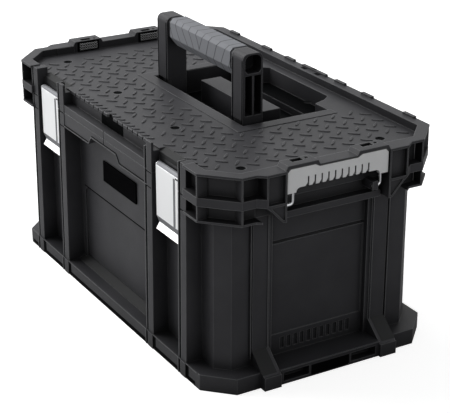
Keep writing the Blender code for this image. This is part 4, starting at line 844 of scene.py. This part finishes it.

# %% [markdown]
# At both ends the rim rises into two arches. The wall under each arch has an opening with a small grey
# grating of crossed ribs over it: three ribs along it and eight up and down. The opening is a thin block
# of the deep black in the face of the wall, which paints the shade inside it, and the grating stands out
# from it on the inside of the rim.

# %% Gratings under the arches of the rim
RIM_WALL_X = 0.2685
OPENING_X = (RIM_WALL_X - 0.3 * MM, RIM_WALL_X + 0.3 * MM)
OPENING_HEIGHTS = (0.2624, 0.2762)
ARCH_MIDDLE = 0.048
ARCH_HALF = 0.0165
GRATING_X = (RIM_WALL_X - 1.8 * MM, RIM_WALL_X - 0.1 * MM)
GRATING_EDGE = 3 * MM
GRATING_RIB = 1.4 * MM
GRATING_PITCH = 3.66 * MM
LONG_RIB_LOWS = (0.2646, 0.2682, 0.2718)
UPRIGHT_RIBS = 8
UPRIGHT_RIB_HEIGHTS = (0.2640, 0.2738)


def at_end(end, span):
    """The two values of a span along X, turned to the left end for -1 and the right end for 1."""
    return end * span[0], end * span[1]


gratings = bmesh.new()
openings = bmesh.new()
for end in (-1, 1):
    for side in (-1, 1):
        low = side * ARCH_MIDDLE - ARCH_HALF
        high = side * ARCH_MIDDLE + ARCH_HALF
        add_block(openings, at_end(end, OPENING_X), (low, high), OPENING_HEIGHTS)
        face = at_end(end, GRATING_X)
        for z in LONG_RIB_LOWS:
            along = (low + GRATING_EDGE, high - GRATING_EDGE)
            add_block(gratings, face, along, (z, z + GRATING_RIB))
        for place in range(UPRIGHT_RIBS):
            y = low + GRATING_EDGE + place * GRATING_PITCH
            add_block(gratings, face, (y, y + GRATING_RIB), UPRIGHT_RIB_HEIGHTS)
new_piece("arch_openings", openings, shade_and_joint_black, "lid")
new_piece("arch_gratings", gratings, grey_clip, "lid")

# %% [markdown]
# The base has a pocket between the two small ones of each end, a thin block of the deep black that
# paints its shade, and a thin rib with a painted shadow above it crosses each sunk end panel.

# %% Pockets and lines of the end faces
END_POCKET_X = (0.2826, 0.2833)
END_POCKET_HALF = 0.027
END_POCKET_HEIGHTS = (0.0020, 0.0150)
END_LINE_HALF = 0.0690
END_SHADOW_X = (0.2468, 0.2481)
END_SHADOW_HEIGHTS = (0.1668, 0.1685)
END_RIB_X = (0.2468, 0.2488)
END_RIB_HEIGHTS = (0.1653, 0.1667)
pockets = bmesh.new()
lines = bmesh.new()
ribs = bmesh.new()
for end in (-1, 1):
    pocket_y = (-END_POCKET_HALF, END_POCKET_HALF)
    panel_y = (-END_LINE_HALF, END_LINE_HALF)
    add_block(pockets, at_end(end, END_POCKET_X), pocket_y, END_POCKET_HEIGHTS)
    add_block(lines, at_end(end, END_SHADOW_X), panel_y, END_SHADOW_HEIGHTS)
    add_block(ribs, at_end(end, END_RIB_X), panel_y, END_RIB_HEIGHTS)
new_piece("end_pockets", pockets, shade_and_joint_black, "tub")
new_piece("end_panel_shadows", lines, shade_black, "tub")
new_piece("end_panel_ribs", ribs, black_shell, "tub")

# %% [markdown]
# The floor of the handle's recess and the finger shelf behind it get thin sheets of the deep black,
# which paint the shade down there. A hollow block rises from the middle of the floor, so the sheet
# runs round it in four parts. The wide knuckle in the middle of the back rim has one small opening in
# its top and two in the rim in front of it. They are drawn as thin blocks of the deep black that stand
# just above the top and paint the shade in the openings.

# %% Floor of the recess and openings of the knuckle
FLOOR_HALF_X = 0.1146
FLOOR_Y = (-0.0216, 0.1006)
FLOOR_HEIGHTS = (0.2298, 0.2302)
RAISED_HALF_X = 0.0772
RAISED_Y = (0.0258, 0.0562)
SHELF_OUTLINE = ((-0.0870, 0.1012), (0.0870, 0.1012), (0.0715, 0.1306), (-0.0715, 0.1306))
SHELF_HEIGHTS = (0.2398, 0.2402)
OPENING_DEPTH = 0.3 * MM
KNUCKLE_SIDE_Y = (0.1500, 0.1548)
KNUCKLE_SIDE_TOP = 0.2719
KNUCKLE_MIDDLE_Y = (0.1562, 0.1594)
KNUCKLE_MIDDLE_TOP = 0.2744
KNUCKLE_OPENINGS = (
    ((-0.023, -0.013), KNUCKLE_SIDE_Y, KNUCKLE_SIDE_TOP),
    ((-0.007, 0.004), KNUCKLE_MIDDLE_Y, KNUCKLE_MIDDLE_TOP),
    ((0.008, 0.018), KNUCKLE_SIDE_Y, KNUCKLE_SIDE_TOP),
)
made = bmesh.new()
for y in ((FLOOR_Y[0], RAISED_Y[0]), (RAISED_Y[1], FLOOR_Y[1])):
    add_block(made, (-FLOOR_HALF_X, FLOOR_HALF_X), y, FLOOR_HEIGHTS)
for side in (-1, 1):
    add_block(made, (side * RAISED_HALF_X, side * FLOOR_HALF_X), RAISED_Y, FLOOR_HEIGHTS)
add_slab(made, SHELF_OUTLINE, *SHELF_HEIGHTS)
for x, y, top in KNUCKLE_OPENINGS:
    add_block(made, x, y, (top, top + OPENING_DEPTH))
new_piece("recess_floor", made, shade_and_joint_black, "lid")

# %% [markdown]
# On the end faces a fine bead runs along both edges of the upright ribs, and one along the upper edge
# of the base flange. Each of those ribs ends in a slanting foot. A darker sheet just above the foot's
# face paints shade on the slope and leaves the two edges as light lines. The sheet runs between two
# places on the slope, found as shares of the way from its lowest point to the bend, and is moved off
# the face along the slope's own normal.

# %% Beads and feet of the upright ribs
UPRIGHT_EDGES = (0.0735, 0.0965)
END_BEAD_HALF = 0.6 * MM
END_BEAD_X = (0.2560, 0.2580)
END_BEAD_HEIGHTS = (0.0300, 0.2090)
FLANGE_BEAD_X = (0.2826, 0.2840)
FLANGE_BEAD_HALF = 0.0710
FLANGE_BEAD_HEIGHTS = (0.0194, 0.0206)
FOOT_LOW = Vector((0.2860, 0.0, 0.0160))
FOOT_BEND = Vector((0.2570, 0.0, 0.0400))
SHEET_SHARES = (0.12, 1.0)
SHEET_Y = (0.0753, 0.0947)
SHEET_OFF = 0.3 * MM
slope_normal = Vector((FOOT_BEND.z - FOOT_LOW.z, 0.0, FOOT_LOW.x - FOOT_BEND.x)).normalized()
beads = bmesh.new()
for end in (-1, 1):
    flange_y = (-FLANGE_BEAD_HALF, FLANGE_BEAD_HALF)
    add_block(beads, at_end(end, FLANGE_BEAD_X), flange_y, FLANGE_BEAD_HEIGHTS)
    for side in (-1, 1):
        for edge in UPRIGHT_EDGES:
            bead_y = (side * edge - END_BEAD_HALF, side * edge + END_BEAD_HALF)
            add_block(beads, at_end(end, END_BEAD_X), bead_y, END_BEAD_HEIGHTS)
new_piece("end_beads", beads, black_shell, "tub")

made = bmesh.new()
for end in (-1, 1):
    for side in (-1, 1):
        lower, upper = [
            FOOT_LOW.lerp(FOOT_BEND, share) + slope_normal * SHEET_OFF for share in SHEET_SHARES
        ]
        corners = ((lower, SHEET_Y[0]), (lower, SHEET_Y[1]), (upper, SHEET_Y[1]), (upper, SHEET_Y[0]))
        ring = [made.verts.new((end * spot.x, side * y, spot.z)) for spot, y in corners]
        made.faces.new(ring if end == side else ring[::-1])
new_piece("end_feet", made, shade_black, "tub", closed=False)

# %% [markdown]
# The handle's posts have dark lines near both edges, where their moulded frame steps back: bands of
# the deep black that paint the shade at each step. Each line is a chain of thin bands that follows the
# post's front up to its rounded top. A band has two edges across it, each given by a place (y, z), and
# a thickness behind them.

# %% Dark lines on the posts
BAND_THICKNESS = 0.3 * MM
POST_LINE_PROUD = 0.12 * MM
POST_LINES_INWARD = ((24.9 * MM, 22.7 * MM), (2.5 * MM, 0.7 * MM))
POST_TOP_BACK_AND_DOWN = ((0, 8.2 * MM), (0.9 * MM, 4.2 * MM), (3.72 * MM, 1.2 * MM))
handle_low, handle_high = box_of("handle_frame")
line_front = handle_low.y - POST_LINE_PROUD
post_profile = [(line_front, PLATE_TOP)]
for back, down in POST_TOP_BACK_AND_DOWN:
    post_profile.append((line_front + back, handle_high.z - down))


def add_band(made, left, right, lower, upper):
    """A thin band from left to right; lower and upper are each a (y, z) of its face."""
    outline = (lower, upper, (upper[0] + BAND_THICKNESS, upper[1]), (lower[0] + BAND_THICKNESS, lower[1]))
    add_strip(made, outline, left, right)


made = bmesh.new()
for post in (-1, 1):
    for inner, outer in POST_LINES_INWARD:
        line = (post * (handle_high.x - inner), post * (handle_high.x - outer))
        for lower, upper in zip(post_profile, post_profile[1:]):
            add_band(made, *line, lower, upper)
new_piece("post_lines", made, shade_and_joint_black, "handle")

# %% [markdown]
# On each latch, the drawn-in waist below the flat plate, the pressed groove near one side and the curl
# at the top look darker than the rest. Thin bands of a darker zinc lie over them as painted shade. The
# curl's band is made of five short ones, set round its axis, and a short slot of the deep black ends the
# groove as painted shade.

# %% Painted shade on the latches
# A darker zinc that paints the shade on the latches.
painted_shade_zinc = bright_metal("zinc plate, painted shade", "#7b7c7f", roughness=0.62, frost=0.04)
FLAT_BEHIND_LIP = 0.5 * MM
pin_low, pin_high = box_of("latch_pin_left")
LATCH_FACE = box_of("latch_plate_left")[0].y + FLAT_BEHIND_LIP
CURL_AXIS = (pin_low + pin_high) / 2
BAND_INSET = 0.8 * MM
WAIST_UPPER = (LATCH_FACE - 0.08 * MM, 0.1820)
WAIST_LOWER = (LATCH_FACE + 3.3 * MM, 0.1728)
GROOVE_Y = LATCH_FACE - 0.1 * MM
GROOVE_FROM_RIGHT = (14.1 * MM, 9.3 * MM)
GROOVE_HEIGHTS = (0.1822, 0.2428)
SLOT_Y = LATCH_FACE - 0.12 * MM
SLOT_FROM_RIGHT = (9.0 * MM, 1.5 * MM)
SLOT_HEIGHTS = (0.2428, 0.2446)
CURL_RADIUS = 4.32 * MM
CURL_START_DEGREES = 15
CURL_STEP_DEGREES = 17
CURL_BANDS = 5


def on_curl(step):
    """The (y, z) of a place on the curl, a number of steps up from its start."""
    angle = math.radians(CURL_START_DEGREES + CURL_STEP_DEGREES * step)
    y = CURL_AXIS.y - math.cos(angle) * CURL_RADIUS
    z = CURL_AXIS.z + math.sin(angle) * CURL_RADIUS
    return y, z


for body, plate in (("latch_left", "latch_plate_left"), ("latch_right", "latch_plate_right")):
    left, right = [corner.x for corner in box_of(plate)]
    inner_left, inner_right = left + BAND_INSET, right - BAND_INSET
    made = bmesh.new()
    add_band(made, inner_left, inner_right, WAIST_LOWER, WAIST_UPPER)
    groove_left, groove_right = [right - distance for distance in GROOVE_FROM_RIGHT]
    groove_low, groove_high = [(GROOVE_Y, z) for z in GROOVE_HEIGHTS]
    add_band(made, groove_left, groove_right, groove_low, groove_high)
    for step in range(CURL_BANDS):
        add_band(made, inner_left, inner_right, on_curl(step), on_curl(step + 1))
    new_piece(body + "_shade_bands", made, painted_shade_zinc, body)

    made = bmesh.new()
    slot_left, slot_right = [right - distance for distance in SLOT_FROM_RIGHT]
    slot_low, slot_high = [(SLOT_Y, z) for z in SLOT_HEIGHTS]
    add_band(made, slot_left, slot_right, slot_low, slot_high)
    new_piece(body + "_slot", made, shade_and_joint_black, body)

# %% [markdown]
# The picture has a plain white ground. The floor is a pale sheet that keeps the box's soft shadow.
# Light Path tells when the camera looks straight at it, and only then does it glow a little, which
# lights nothing else.

# %% Floor
FLOOR_RADIUS = 6
FLOOR_POINTS = 64
FLOOR_GLOW = 0.80


def white_ground():
    """A matt white sheet that glows for the camera alone."""
    material, tree, shader = new_finish("matt white sheet", "#e8e8e8", 0.9)
    shader.inputs["Emission Color"].default_value = linear("#ffffff")
    path = add(tree, "ShaderNodeLightPath")
    glow = arithmetic(tree, "MULTIPLY", path.outputs["Is Camera Ray"], FLOOR_GLOW)
    tree.links.new(glow, shader.inputs["Emission Strength"])
    return material


made = bmesh.new()
bmesh.ops.create_circle(made, cap_ends=True, segments=FLOOR_POINTS, radius=FLOOR_RADIUS)
mesh = bpy.data.meshes.new("floor")
made.to_mesh(mesh)
made.free()
mesh.materials.append(white_ground())
floor = bpy.data.objects.new("floor", mesh)
bpy.context.scene.collection.objects.link(floor)
print("floor:", 2 * FLOOR_RADIUS, "m across")

# %% [markdown]
# The world is white where the camera, a shiny surface or a clear one looks at it, so that metal has
# something pale to mirror. Everywhere else it gives only a low, even light, which fills the shadows a
# little.

# %% World
WORLD_FILL = 0.22
world = bpy.data.worlds.new("studio")
bpy.context.scene.world = world
world.use_nodes = True
tree = world.node_tree
back = tree.nodes["Background"]
back.inputs["Color"].default_value = linear("#ffffff")
path = add(tree, "ShaderNodeLightPath")
seen = 0.0
for kind in ("Is Camera Ray", "Is Glossy Ray", "Is Transmission Ray"):
    seen = arithmetic(tree, "MAXIMUM", seen, path.outputs[kind])
tree.links.new(in_range(tree, seen, to=(WORLD_FILL, 1.0)), back.inputs["Strength"])
print("the world lights the box at", WORLD_FILL)

# %% [markdown]
# Three wide lamps give soft shadows. One hangs overhead to the left of the box, the second stands
# farther off in front, and a faint third reaches the right end, so that the top is the lightest face
# and the right end the darkest.

# %% Lamps
LAMP_SIZE = 1.2


def add_lamp(name, place, target, watts):
    """A square lamp at a place, turned to shine at its target."""
    data = bpy.data.lights.new(name, "AREA")
    data.shape = "SQUARE"
    data.size = LAMP_SIZE
    data.energy = watts
    lamp = bpy.data.objects.new(name, data)
    lamp.location = place
    lamp.rotation_euler = (Vector(place) - Vector(target)).to_track_quat("Z", "Y").to_euler()
    bpy.context.scene.collection.objects.link(lamp)
    return lamp


lamps = [
    add_lamp("overhead softbox", (-1.0, -0.4, 1.7), (-0.05, 0, 0.2), 21),
    add_lamp("front softbox", (-1.9, -2.1, 1.3), (0, 0, 0.15), 29),
    add_lamp("end softbox", (2.6, -0.9, 1.5), (0.2, 0, 0.15), 4),
]
print("lamps:", [lamp.name for lamp in lamps])
